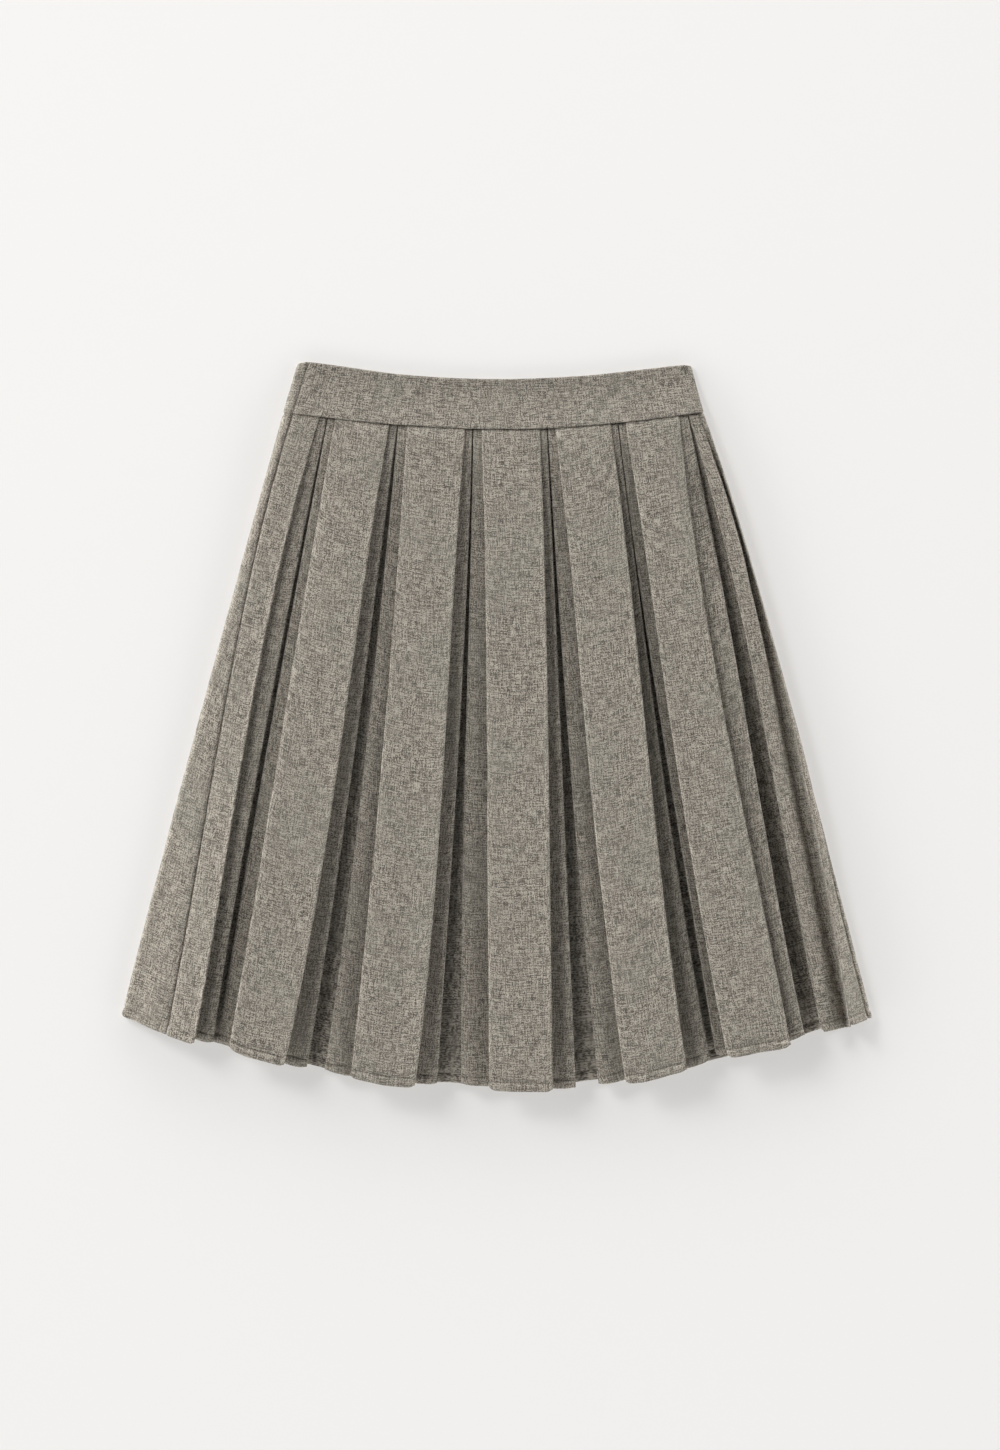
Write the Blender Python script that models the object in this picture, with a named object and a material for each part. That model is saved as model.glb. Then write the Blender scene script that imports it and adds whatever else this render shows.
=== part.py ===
"""Pleated skirt with stacked box pleats on a straight waistband, laid flat with its front up.

+X is the right-hand side as seen from above, +Y points from the hem to the waist, and the
skirt lies on Z = 0. The tables are in millimetres, and the meshes are built in metres.

The skirt is a flattened tube. Every layer of cloth is placed by how far it lies along the
tube's outer line, and by how deep it lies inside that line. One section of the cloth is a
path that folds back and forth through the layers of each pleat, and a panel is lofted
through such sections from the waist seam down to the hem.
"""
import math
from collections import namedtuple

import bpy
import bmesh

MM = 0.001

# Cloth and the spaces between its layers
WALL = 1.0
SEAM_GAP = 0.3
WAIST_SEAM_GAP = 0.35
TURNING_SEAM_GAP = 0.45
LAYER_PITCH = 1.3
PANEL_CLEARANCE = 0.5
BAND_WALL = 2.0
BAND_STEP = 0.8

# Shares of the way from the waist seam to the hem at which sections are cut
PANEL_SECTIONS = (0.0, 0.08, 0.22, 0.38, 0.54, 0.7, 0.86, 1.0)
BAND_SECTIONS = (0.0, 0.2, 0.45, 0.75, 1.0)

# Heights of the flattened tube
BACK_TOP = 4 * LAYER_PITCH + WALL
UNDERLAY_Z = BACK_TOP + PANEL_CLEARANCE + WALL / 2
WAIST_HEIGHT = UNDERLAY_Z + 4 * LAYER_PITCH + WALL / 2
HEM_HEIGHT = 28.0
LEFT_HEM_EDGE = 8.8
RIGHT_HEM_EDGE = 11.0
LEFT_RAMP = 84.0
RIGHT_RAMP = 40.0
LEFT_ROLL = 22.0
RIGHT_ROLL = 13.0
ROLL_AT_WAIST = 1.0
BAND_TOP_HEIGHT = 5.0

# The hem is one long arc, lowest in the middle, and hidden layers end a little above it
HEM_LOWEST_Y = -321.0
HEM_ARC_RADIUS = 830.0
UNDERLAY_RAISE = 2.5
BACK_RAISE = 8.0

# Returns of a pleat stop just short of its box's middle, and open up towards the hem
RETURN_GAP = 3.0
RETURN_OPENING = 0.3
STRIP_OPENING = 0.3
# The stack rises fast below the waist and slower towards the hem
OPENING_POWER = 0.6

# The valley beside the last box's open fold: its height over the underlay, and the reach
# of its far wall past the fold that lies below
VALLEY_AT_WAIST = 2.0
VALLEY_AT_HEM = 1.0
VALLEY_REACH_AT_WAIST = 2.5
VALLEY_REACH_AT_HEM = 9.0
SHELF_LIFT = 0.1
SHELF_PLACE = 0.6

# The back's half boxes fold back just inside the tube's bends, and its hem rises along
# the flat stretch that leads to the left-hand bend
BACK_FOLD_INSET = 2.0
WRAP_BOTTOM_PLACE = 0.4

# Heights at which the tables give a fold's place between its waist and hem ends
UPPER_Y = 110.7
LOWER_Y = -65.3

Point = namedtuple("Point", "x y")
Fold = namedtuple("Fold", "box edge waist upper lower hem hem_y")
BackRow = namedtuple("BackRow", "name waist hem")

# The waist seam and the waistband's top edge, from left to right
SEAM_LINE = (
    Point(-188.5, 275.9),
    Point(-85.0, 265.0),
    Point(20.0, 261.2),
    Point(113.0, 267.3),
    Point(182.7, 276.3),
)
TOP_LINE = (
    Point(-175.4, 319.6),
    Point(-165.0, 320.8),
    Point(-80.0, 309.6),
    Point(0.0, 305.9),
    Point(77.0, 308.9),
    Point(165.0, 318.2),
    Point(172.0, 317.2),
)

# The flat skirt's two sides, and the side seam that has turned onto the front
LEFT_SIDE = Fold("side", "left", -188.5, -234.2, -281.9, -331.0, -255.4)
RIGHT_SIDE = Fold("side", "right", 182.7, 234.2, 281.7, 331.0, -254.9)
LEFT_SEAM = Fold("seam", "left", -179.6, -221.2, -253.7, -290.2, -271.0)
LEFT_BAND_SEAM_TOP_X = -165.7

# How far past the right-hand side the other seam lies: behind it at the waist, in front at the hem
RIGHT_SEAM_PAST_SIDE = Fold("seam", "right", 12.0, 6.5, 0.0, -7.0, -257.0)

# Edges of the front's boxes, and of the wider second layer that shows beside each as a strip
FRONT_FOLDS = (
    Fold("A", "right", -155.6, -196.9, -229.2, -265.5, -280.9),
    Fold("A", "right_strip", -149.2, -181.2, -214.2, -249.5, -280.0),
    Fold("B", "left_strip", -148.6, -178.9, -210.7, -246.8, -279.6),
    Fold("B", "left", -141.7, -170.1, -198.7, -235.6, -284.0),
    Fold("B", "right", -94.3, -118.4, -143.7, -186.5, -299.9),
    Fold("B", "right_strip", -87.3, -107.0, -130.5, -166.8, -302.4),
    Fold("C", "left_strip", -86.7, -101.5, -120.2, -151.7, -305.1),
    Fold("C", "left", -78.7, -89.8, -104.1, -129.0, -310.4),
    Fold("C", "right", -27.5, -37.9, -48.2, -71.5, -317.9),
    Fold("C", "right_strip", -21.1, -26.5, -35.9, -52.3, -316.4),
    Fold("D", "left_strip", -20.5, -24.1, -28.7, -31.3, -317.0),
    Fold("D", "left", -13.2, -10.0, -8.4, -6.7, -320.5),
    Fold("D", "right", 38.0, 43.2, 46.3, 49.5, -321.2),
    Fold("D", "right_strip", 44.4, 51.6, 59.3, 69.9, -320.4),
    Fold("E", "left_strip", 45.0, 54.3, 67.0, 89.5, -316.6),
    Fold("E", "left", 51.6, 67.5, 83.7, 113.4, -314.8),
    Fold("E", "right", 100.3, 119.4, 137.6, 167.6, -303.8),
    Fold("E", "right_strip", 106.6, 126.5, 150.4, 188.7, -296.5),
    Fold("F", "left_strip", 107.2, 127.6, 155.5, 193.1, -292.4),
    Fold("F", "left", 113.4, 136.6, 162.9, 202.8, -291.9),
    Fold("F", "right", 161.0, 182.2, 214.9, 258.6, -281.6),
    Fold("F", "right_strip", 168.1, 201.2, 231.8, 271.2, -274.1),
    Fold("G", "left_strip", 168.7, 212.0, 246.8, 285.5, -269.0),
    Fold("G", "valley", 176.8, 226.1, 264.4, 306.6, -265.5),
    Fold("G", "left", 181.6, 232.7, 275.8, 311.0, -264.2),
)
FRONT_BOXES = ("B", "C", "D", "E", "F")

# The back: a half box at each side, and five boxes spread evenly between their folds
BACK_HALF_LEFT = BackRow("left half box's fold", -172.0, -312.0)
BACK_HALF_RIGHT = BackRow("right half box's fold", 150.0, 312.0)
BACK_FACE = BackRow("box face width", 46.4, 55.0)
BACK_STRIP = BackRow("strip width", 7.0, 22.0)
BACK_GAP = BackRow("space between two boxes", 14.6, 58.0)
BACK_BOX_COUNT = 5
BACK_HEM_SHIFTS = (3.0, -2.0, 1.5, -3.0, 2.0)

# Steps along stretches that pass round a side of the tube, and along the waistband
SIDE_STEPS = 7
ROLL_STEPS = 3
WRAP_STEPS = 5
BAND_STEPS = 18
BAND_END_STEPS = 2

WOOL_COLOUR = (0.30, 0.275, 0.235, 1.0)
BAND_COLOUR = (0.27, 0.25, 0.215, 1.0)
WOOL_ROUGHNESS = 0.9


def mix(first, second, share):
    """Straight blend of two numbers."""
    return first + (second - first) * share


def smooth_step(share):
    """Rise from 0 to 1 with level ends."""
    share = min(max(share, 0.0), 1.0)
    return share * share * (3.0 - 2.0 * share)


def curve_through(points, x):
    """Height at x of the smooth curve through a row of points, level with its end points outside."""
    if x <= points[0].x:
        return points[0].y
    if x >= points[-1].x:
        return points[-1].y
    index = max(i for i, point in enumerate(points[:-1]) if point.x <= x)
    start = points[index]
    end = points[index + 1]
    before = points[index - 1] if index > 0 else start
    after = points[index + 2] if index + 2 < len(points) else end
    span = end.x - start.x
    share = (x - start.x) / span
    slope_start = (end.y - before.y) / (end.x - before.x) * span
    slope_end = (after.y - start.y) / (after.x - start.x) * span
    square = share * share
    cube = square * share
    return (
        (2 * cube - 3 * square + 1) * start.y
        + (cube - 2 * square + share) * slope_start
        + (3 * square - 2 * cube) * end.y
        + (cube - square) * slope_end
    )


def seam_y(x):
    """Height of the waist seam at x."""
    return curve_through(SEAM_LINE, x)


def hem_arc_y(x):
    """Height of the hem's arc at x."""
    return HEM_LOWEST_Y + x * x / (2 * HEM_ARC_RADIUS)


def cubic_through(knots, place):
    """Value at a place of the cubic through four (place, value) knots."""
    total = 0.0
    for i, (place_i, value) in enumerate(knots):
        weight = 1.0
        for j, (place_j, _) in enumerate(knots):
            if j != i:
                weight *= (place - place_j) / (place_i - place_j)
        total += value * weight
    return total


def fold_point(fold, share, waist_y=None):
    """A fold line's x and y, a share of the way from its waist end to its hem end."""
    top_y = seam_y(fold.waist) if waist_y is None else waist_y
    y = mix(top_y, fold.hem_y, share)
    knots = (
        (top_y, fold.waist),
        (UPPER_Y, fold.upper),
        (LOWER_Y, fold.lower),
        (fold.hem_y, fold.hem),
    )
    return Point(cubic_through(knots, y), y)


class Tube:
    """Outer line of the flattened tube in one section.

    A distance along the line starts at its top, above x = 0, and grows to the right, round
    the right-hand side, back along the underside and up round the left-hand side. On the
    top it equals x. The underside lies at z = 0.
    """

    def __init__(self, left, right, left_edge, right_edge, middle, left_roll, right_roll):
        self.left_radius = left_edge / 2
        self.right_radius = right_edge / 2
        self.middle = middle
        self.left_roll = left_roll
        self.right_roll = right_roll
        self.left_bend = left + self.left_radius
        self.right_bend = right - self.right_radius
        self.under_start = self.right_bend + math.pi * self.right_radius
        self.under_end = self.under_start + self.right_bend - self.left_bend
        self.length = self.under_end + math.pi * self.left_radius - self.left_bend

    def height(self, x):
        """Height of the top at x: the stack's own height, and more where the pleats open.

        A tube whose middle is no higher than its left edge is level, like the waistband's.
        """
        if self.middle <= 2 * self.left_radius:
            return self.middle
        from_left = max(x - self.left_bend, 0.0)
        from_right = max(self.right_bend - x, 0.0)
        stack = min(self.middle, WAIST_HEIGHT)
        low_left = mix(2 * self.left_radius, stack, smooth_step(from_left / self.left_roll))
        low_right = mix(2 * self.right_radius, stack, smooth_step(from_right / self.right_roll))
        rise = smooth_step(from_left / LEFT_RAMP) * smooth_step(from_right / RIGHT_RAMP)
        return min(low_left, low_right) + (self.middle - stack) * rise

    def on_top(self, x):
        """Distance along the line of the point at x on the upper side."""
        if x > self.right_bend:
            reach = min((x - self.right_bend) / self.right_radius, 1.0)
            return self.right_bend + self.right_radius * math.asin(reach)
        if x < self.left_bend:
            reach = min((self.left_bend - x) / self.left_radius, 1.0)
            return self.left_bend - self.left_radius * math.asin(reach)
        return x

    def underneath(self, x):
        """Distance along the line of the point at x on the underside."""
        return self.under_start + self.right_bend - x

    def place(self, along, depth):
        """The x and z of the point a distance along the line and a depth inside it."""
        if along < self.left_bend:
            along += self.length
        if along <= self.right_bend:
            return along, self.height(along) - depth
        if along <= self.under_start:
            turn = (along - self.right_bend) / self.right_radius
            reach = self.right_radius - depth
            x = self.right_bend + reach * math.sin(turn)
            return x, self.right_radius + reach * math.cos(turn)
        if along <= self.under_end:
            return self.right_bend - (along - self.under_start), depth
        turn = (along - self.under_end) / self.left_radius
        if turn <= math.pi:
            reach = self.left_radius - depth
            x = self.left_bend - reach * math.sin(turn)
            return x, self.left_radius - reach * math.cos(turn)
        x = along - self.length
        return x, self.height(x) - depth


def skirt_tube(share):
    """The skirt's tube a share of the way from the waist seam to the hem."""
    return Tube(
        fold_point(LEFT_SIDE, share).x,
        fold_point(RIGHT_SIDE, share).x,
        mix(WAIST_HEIGHT, LEFT_HEM_EDGE, share),
        mix(WAIST_HEIGHT, RIGHT_HEM_EDGE, share),
        mix(WAIST_HEIGHT, HEM_HEIGHT, share ** OPENING_POWER),
        mix(ROLL_AT_WAIST, LEFT_ROLL, share),
        mix(ROLL_AT_WAIST, RIGHT_ROLL, share),
    )


def left_seam_along(tube, share):
    """Where the left side seam lies along the tube's outer line."""
    return tube.on_top(fold_point(LEFT_SEAM, share).x)


def right_seam_along(tube, share):
    """Where the right side seam lies along the tube's outer line."""
    past = fold_point(RIGHT_SEAM_PAST_SIDE, share, seam_y(RIGHT_SIDE.waist)).x
    quarter_turn = tube.right_radius * math.pi / 2
    return tube.right_bend + quarter_turn + past


def stretch(start, end, steps):
    """Knots from one knot to the next, both left out, evenly spaced."""
    return [
        tuple(mix(a, b, step / steps) for a, b in zip(start, end))
        for step in range(1, steps)
    ]


def pleat_side(lay, side, face, strip, middle, depth_of):
    """Knots down through one side of a box: face fold, return, strip fold, return, underlay.

    side is +1 where the fold is to the right of the box's middle, and -1 to the left. lay
    gives the distance along the tube's line at an x, and depth_of the depth of a fold's
    upper layer from the fold's number and its x.
    """
    inner_x = middle.x + side * RETURN_GAP / 2
    turns = (
        (face.x - side * WALL / 2, face.y),
        (inner_x, middle.y),
        (strip.x - side * WALL / 2, strip.y),
        (inner_x, middle.y),
    )
    knots = []
    for number, (x, y) in enumerate(turns):
        depth = depth_of(number, x)
        knots.append((lay(x), depth, y))
        knots.append((lay(x), depth + LAYER_PITCH, y))
    return knots


def front_depth(tube):
    """Depths of a front pleat's folds, which open where the tube is high."""

    def depth_of(number, x):
        underlay = tube.height(x) - UNDERLAY_Z
        spare = underlay - WALL / 2 - 4 * LAYER_PITCH
        opening = (1.0, RETURN_OPENING, STRIP_OPENING, 0.0)[number]
        return underlay - (4 - number) * LAYER_PITCH - opening * spare

    return depth_of


def back_depth(number, _):
    """Depths of a back pleat's folds, which lie flat on each other."""
    return WALL / 2 + number * LAYER_PITCH


def front_fold(box, edge, share):
    """Point on the named fold of the front."""
    fold = next(row for row in FRONT_FOLDS if row.box == box and row.edge == edge)
    return fold_point(fold, share)


def front_path(share):
    """Knots of the front panel's section, from the left side seam to the right one."""
    tube = skirt_tube(share)
    raised = UNDERLAY_RAISE * share

    seam = fold_point(LEFT_SEAM, share)
    start = (left_seam_along(tube, share) + SEAM_GAP / 2, WALL / 2, seam.y)
    middle = Point(seam.x + RETURN_GAP / 2, seam.y + raised)
    fold = front_fold("A", "right", share)
    strip = front_fold("A", "right_strip", share)
    knots = [start]
    depth_of = front_depth(tube)
    knots += pleat_side(tube.on_top, 1, fold, strip, middle, depth_of)

    for box in FRONT_BOXES:
        left = front_fold(box, "left", share)
        right = front_fold(box, "right", share)
        centre = Point((left.x + right.x) / 2, (left.y + right.y) / 2)
        middle = Point(centre.x, centre.y + raised)
        left_strip = front_fold(box, "left_strip", share)
        right_strip = front_fold(box, "right_strip", share)
        rising = pleat_side(tube.on_top, -1, left, left_strip, middle, depth_of)
        knots += reversed(rising)
        knots.append((centre.x, WALL / 2, centre.y))
        knots += pleat_side(tube.on_top, 1, right, right_strip, middle, depth_of)

    knots += last_box_knots(tube, share, raised)
    return tube, knots


def last_box_knots(tube, share, raised):
    """Knots of the half box at the right, whose fold stands open as a ridge beside a valley."""
    strip = front_fold("G", "left_strip", share)
    valley = front_fold("G", "valley", share)
    ridge = front_fold("G", "left", share)
    spare = (HEM_HEIGHT - WAIST_HEIGHT) * share
    strip_z = UNDERLAY_Z + 2 * LAYER_PITCH + STRIP_OPENING * spare
    shelf_z = UNDERLAY_Z + 2 * LAYER_PITCH + SHELF_LIFT
    valley_z = UNDERLAY_Z + mix(VALLEY_AT_WAIST, VALLEY_AT_HEM, share)
    inner_x = valley.x - mix(VALLEY_REACH_AT_WAIST, VALLEY_REACH_AT_HEM, share)
    strip_x = strip.x + WALL / 2

    def depth_at(x, z):
        return tube.height(x) - z

    knots = [
        (inner_x, depth_at(inner_x, UNDERLAY_Z), valley.y + raised),
        (inner_x, depth_at(inner_x, UNDERLAY_Z + LAYER_PITCH), valley.y + raised),
        (strip_x, depth_at(strip_x, strip_z - LAYER_PITCH), strip.y),
        (strip_x, depth_at(strip_x, strip_z), strip.y),
        (inner_x, depth_at(inner_x, shelf_z), mix(strip.y, valley.y, SHELF_PLACE)),
        (valley.x, depth_at(valley.x, valley_z), valley.y),
        (tube.on_top(ridge.x), WALL / 2, ridge.y),
    ]
    gap = TURNING_SEAM_GAP
    end = (right_seam_along(tube, share) - gap / 2, WALL / 2, right_seam_y(share))
    knots += stretch(knots[-1], end, SIDE_STEPS)
    knots.append(end)
    return knots


def right_seam_y(share):
    """Height of the right side seam's point in a section."""
    return mix(seam_y(RIGHT_SIDE.waist), RIGHT_SEAM_PAST_SIDE.hem_y, share)


def back_point(row, share):
    """Point on a straight line of the back, from the waist seam to just above the hem's arc."""
    hem_y = hem_arc_y(row.hem) + BACK_RAISE
    return Point(mix(row.waist, row.hem, share), mix(seam_y(row.waist), hem_y, share))


def moved(row, width, times):
    """A line of the back beside another one, a number of widths to the right."""
    return BackRow(row.name, row.waist + times * width.waist, row.hem + times * width.hem)


def back_path(share):
    """Knots of the back panel's section, from the right side seam under to the left one."""
    tube = skirt_tube(share)
    gap = TURNING_SEAM_GAP
    start = (right_seam_along(tube, share) + gap / 2, WALL / 2, right_seam_y(share))
    fold = back_point(BACK_HALF_RIGHT, share)
    strip = back_point(moved(BACK_HALF_RIGHT, BACK_STRIP, -1), share)
    middle = Point(tube.right_bend - BACK_FOLD_INSET + RETURN_GAP / 2, fold.y)
    pleat = pleat_side(tube.underneath, -1, fold, strip, middle, back_depth)
    knots = [start]
    knots += stretch(start, pleat[0], SIDE_STEPS)
    knots += pleat

    for index in reversed(range(BACK_BOX_COUNT)):
        centre_row = back_box_centre(index)
        left_row = moved(centre_row, BACK_FACE, -0.5)
        right_row = moved(centre_row, BACK_FACE, 0.5)
        centre = back_point(centre_row, share)
        left = back_point(left_row, share)
        right = back_point(right_row, share)
        left_strip = back_point(moved(left_row, BACK_STRIP, -1), share)
        right_strip = back_point(moved(right_row, BACK_STRIP, 1), share)
        rising = pleat_side(tube.underneath, 1, right, right_strip, centre, back_depth)
        knots += reversed(rising)
        knots.append((tube.underneath(centre.x), WALL / 2, centre.y))
        knots += pleat_side(tube.underneath, -1, left, left_strip, centre, back_depth)

    fold = back_point(BACK_HALF_LEFT, share)
    strip = back_point(moved(BACK_HALF_LEFT, BACK_STRIP, 1), share)
    middle = Point(tube.left_bend + BACK_FOLD_INSET - RETURN_GAP / 2, fold.y)
    rising = pleat_side(tube.underneath, 1, fold, strip, middle, back_depth)
    knots += reversed(rising)

    seam = fold_point(LEFT_SEAM, share)
    side_y = fold_point(LEFT_SIDE, share).y
    bottom = (tube.under_end, WALL / 2, mix(fold.y, side_y, WRAP_BOTTOM_PLACE))
    rolled = (tube.under_end + tube.left_radius * math.pi / 2, WALL / 2, side_y)
    end = (left_seam_along(tube, share) + tube.length - SEAM_GAP / 2, WALL / 2, seam.y)
    knots.append(bottom)
    knots += stretch(bottom, rolled, ROLL_STEPS)
    knots.append(rolled)
    knots += stretch(rolled, end, WRAP_STEPS)
    knots.append(end)
    return tube, knots


def back_box_centre(index):
    """Middle line of one of the back's boxes, counted from the left."""
    room = (index + 0.5) / BACK_BOX_COUNT
    first = moved(BACK_HALF_LEFT, BACK_GAP, 0.5)
    last = moved(BACK_HALF_RIGHT, BACK_GAP, -0.5)
    hem_x = mix(first.hem, last.hem, room) + BACK_HEM_SHIFTS[index]
    return BackRow("box middle", mix(first.waist, last.waist, room), hem_x)


def band_tube(share):
    """The waistband's tube a share of the way from the waist seam to its top edge."""
    edge = mix(WAIST_HEIGHT + BAND_STEP, BAND_TOP_HEIGHT, math.sin(share * math.pi / 2))
    left = mix(LEFT_SIDE.waist, TOP_LINE[0].x, share)
    right = mix(RIGHT_SIDE.waist, TOP_LINE[-1].x, share)
    return Tube(left, right, edge, edge, edge, ROLL_AT_WAIST, ROLL_AT_WAIST)


def band_y(x, share):
    """Height of a point of the waistband, from its x and its share of the way up."""
    low_share = (x - mix(LEFT_SIDE.waist, TOP_LINE[0].x, share)) / (
        mix(RIGHT_SIDE.waist, TOP_LINE[-1].x, share)
        - mix(LEFT_SIDE.waist, TOP_LINE[0].x, share)
    )
    low = seam_y(mix(LEFT_SIDE.waist, RIGHT_SIDE.waist, low_share)) + WAIST_SEAM_GAP
    high = curve_through(TOP_LINE, mix(TOP_LINE[0].x, TOP_LINE[-1].x, low_share))
    return mix(low, high, share)


def band_path(share, is_front):
    """Knots of the front or the back half of the waistband."""
    tube = band_tube(share)
    left_seam = tube.on_top(mix(LEFT_SEAM.waist, LEFT_BAND_SEAM_TOP_X, share))
    right_seam = tube.right_bend + tube.right_radius * math.pi / 2 + RIGHT_SEAM_PAST_SIDE.waist
    if is_front:
        first = left_seam + SEAM_GAP / 2
        last = right_seam - SEAM_GAP / 2
        bends = (tube.right_bend, tube.under_start)
    else:
        first = right_seam + SEAM_GAP / 2
        last = left_seam + tube.length - SEAM_GAP / 2
        bends = (tube.under_end, tube.under_end + math.pi * tube.left_radius)
    places = [first]
    for stop, count in zip((*bends, last), (BAND_STEPS, SIDE_STEPS, BAND_END_STEPS)):
        before = places[-1]
        places += [mix(before, stop, step / count) for step in range(1, count + 1)]
    knots = []
    for along in places:
        x, _ = tube.place(along, BAND_WALL / 2)
        knots.append((along, BAND_WALL / 2, band_y(x, share)))
    return tube, knots


def offset_sides(line, half):
    """The two sides of a bent strip: each point moved out along its mitre by half a wall."""
    upper = []
    lower = []
    for index, (x, z) in enumerate(line):
        normals = []
        for first, second in ((index - 1, index), (index, index + 1)):
            if first >= 0 and second < len(line):
                run = line[second][0] - line[first][0]
                rise = line[second][1] - line[first][1]
                length = math.hypot(run, rise)
                normals.append((-rise / length, run / length))
        nx = sum(normal[0] for normal in normals) / len(normals)
        nz = sum(normal[1] for normal in normals) / len(normals)
        square = nx * nx + nz * nz
        move_x = half * nx / square
        move_z = half * nz / square
        upper.append((x + move_x, z + move_z))
        lower.append((x - move_x, z - move_z))
    return upper, lower


def front_band_path(share):
    """Knots of the front half of the waistband."""
    return band_path(share, True)


def back_band_path(share):
    """Knots of the back half of the waistband."""
    return band_path(share, False)


def loft_wall(path, sections, wall, follows_seam):
    """Vertices and faces of a closed wall lofted through the path's sections.

    The first section of a wall that follows the seam lies along the waist seam.
    """
    vertices = []
    ring_size = 0
    for share in sections:
        tube, knots = path(share)
        line = [tube.place(along, depth) for along, depth, _ in knots]
        heights = [y for _, _, y in knots]
        if share == 0.0 and follows_seam:
            heights = [seam_y(x) for x, _ in line]
        upper, lower = offset_sides(line, wall / 2)
        ring = list(zip(upper, heights)) + list(zip(reversed(lower), reversed(heights)))
        ring_size = len(ring)
        vertices += [(x, y, z if abs(z) > 1e-6 else 0.0) for (x, z), y in ring]
    faces = []
    for section in range(len(sections) - 1):
        base = section * ring_size
        for index in range(ring_size):
            following = (index + 1) % ring_size
            faces.append(
                (
                    base + index,
                    base + following,
                    base + ring_size + following,
                    base + ring_size + index,
                )
            )
    for base in (0, (len(sections) - 1) * ring_size):
        for index in range(ring_size // 2 - 1):
            far = ring_size - 1 - index
            faces.append((base + index, base + index + 1, base + far - 1, base + far))
    return vertices, faces


def cloth_material(name, colour):
    """Matt wool cloth."""
    material = bpy.data.materials.new(name)
    material.use_nodes = True
    shader = material.node_tree.nodes["Principled BSDF"]
    shader.inputs["Base Color"].default_value = colour
    shader.inputs["Roughness"].default_value = WOOL_ROUGHNESS
    shader.inputs["Metallic"].default_value = 0.0
    return material


def make_object(name, vertices, faces, centre, material):
    """Object of one closed wall, with the skirt's middle moved over the origin."""
    mesh = bpy.data.meshes.new(name)
    placed = [
        ((x - centre.x) * MM, (y - centre.y) * MM, z * MM)
        for x, y, z in vertices
    ]
    mesh.from_pydata(placed, [], faces)
    work = bmesh.new()
    work.from_mesh(mesh)
    bmesh.ops.recalc_face_normals(work, faces=work.faces)
    work.to_mesh(mesh)
    work.free()
    mesh.shade_smooth()
    mesh.set_sharp_from_angle(angle=math.radians(35))
    mesh.materials.append(material)
    obj = bpy.data.objects.new(name, mesh)
    bpy.context.scene.collection.objects.link(obj)
    return obj


def clear_scene():
    """Remove every object of the scene."""
    for obj in list(bpy.data.objects):
        bpy.data.objects.remove(obj, do_unlink=True)


def main():
    """Build the two pleated panels and the two halves of the waistband."""
    clear_scene()
    wool = cloth_material("greige_wool", WOOL_COLOUR)
    band = cloth_material("greige_wool_band", BAND_COLOUR)
    walls = (
        ("front_panel", loft_wall(front_path, PANEL_SECTIONS, WALL, True), wool),
        ("back_panel", loft_wall(back_path, PANEL_SECTIONS, WALL, True), wool),
        ("waistband_front", loft_wall(front_band_path, BAND_SECTIONS, BAND_WALL, False), band),
        ("waistband_back", loft_wall(back_band_path, BAND_SECTIONS, BAND_WALL, False), band),
    )
    across = [vertex[0] for _, (vertices, _), _ in walls for vertex in vertices]
    along = [vertex[1] for _, (vertices, _), _ in walls for vertex in vertices]
    centre = Point((min(across) + max(across)) / 2, (min(along) + max(along)) / 2)
    for name, (vertices, faces), material in walls:
        make_object(name, vertices, faces, centre, material)


main()
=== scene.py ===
"""Pleated skirt laid flat: the cloth, its waistband, its hem stitching and the studio.

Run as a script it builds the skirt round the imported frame. The tables are in millimetres
and the meshes in metres. +X is the right-hand side as seen from above, and +Y points from
the hem to the waistband.
"""
import math
from collections import namedtuple

import bpy
import numpy as np
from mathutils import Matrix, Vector


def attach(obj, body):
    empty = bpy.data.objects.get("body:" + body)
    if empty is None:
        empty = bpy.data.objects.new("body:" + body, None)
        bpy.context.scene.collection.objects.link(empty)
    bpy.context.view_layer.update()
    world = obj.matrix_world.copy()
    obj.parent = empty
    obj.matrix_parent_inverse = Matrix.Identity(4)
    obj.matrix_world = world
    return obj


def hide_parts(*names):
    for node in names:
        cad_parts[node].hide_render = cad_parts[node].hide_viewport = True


bl_info = {
    "name": "Pleated Skirt",
    "version": (1, 0, 0),
    "blender": (4, 5, 0),
    "location": "View3D > Sidebar > Skirt",
    "description": "Builds a pleated skirt laid flat, with stacked box pleats and a straight waistband",
    "category": "Object",
}

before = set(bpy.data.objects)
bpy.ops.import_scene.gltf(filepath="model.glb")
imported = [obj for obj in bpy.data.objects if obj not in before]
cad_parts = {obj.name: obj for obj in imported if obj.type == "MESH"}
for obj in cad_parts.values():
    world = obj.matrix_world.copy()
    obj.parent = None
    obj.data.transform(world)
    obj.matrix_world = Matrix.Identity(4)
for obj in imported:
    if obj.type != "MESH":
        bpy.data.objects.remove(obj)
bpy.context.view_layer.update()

MM = 0.001
BODY = "root"

# Layers of a pleat from the outside in: the box's face, returns, the strip and the underlay
FACE, UPPER_RETURN, STRIP, LOWER_RETURN, UNDERLAY = range(5)
SHOWN_LAYERS = (FACE, STRIP)
HIDDEN_LAYERS = (UPPER_RETURN, LOWER_RETURN, UNDERLAY)

# Heights of the flattened tube, as in the solids
LAYER_PITCH = 1.3
WALL = 1.0
BACK_TOP = UNDERLAY * LAYER_PITCH + WALL
UNDERLAY_Z = BACK_TOP + 1.0
WAIST_HEIGHT = UNDERLAY_Z + UNDERLAY * LAYER_PITCH + WALL / 2
HEM_HEIGHT = 28.0
LEFT_HEM_EDGE = 8.8
RIGHT_HEM_EDGE = 11.0
LEFT_RAMP = 84.0
RIGHT_RAMP = 40.0
LEFT_ROLL = 22.0
RIGHT_ROLL = 13.0
ROLL_AT_WAIST = 1.0
BAND_TOP_HEIGHT = 5.0
BAND_STEP = 0.8
BAND_WALL = 2.0

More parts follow.
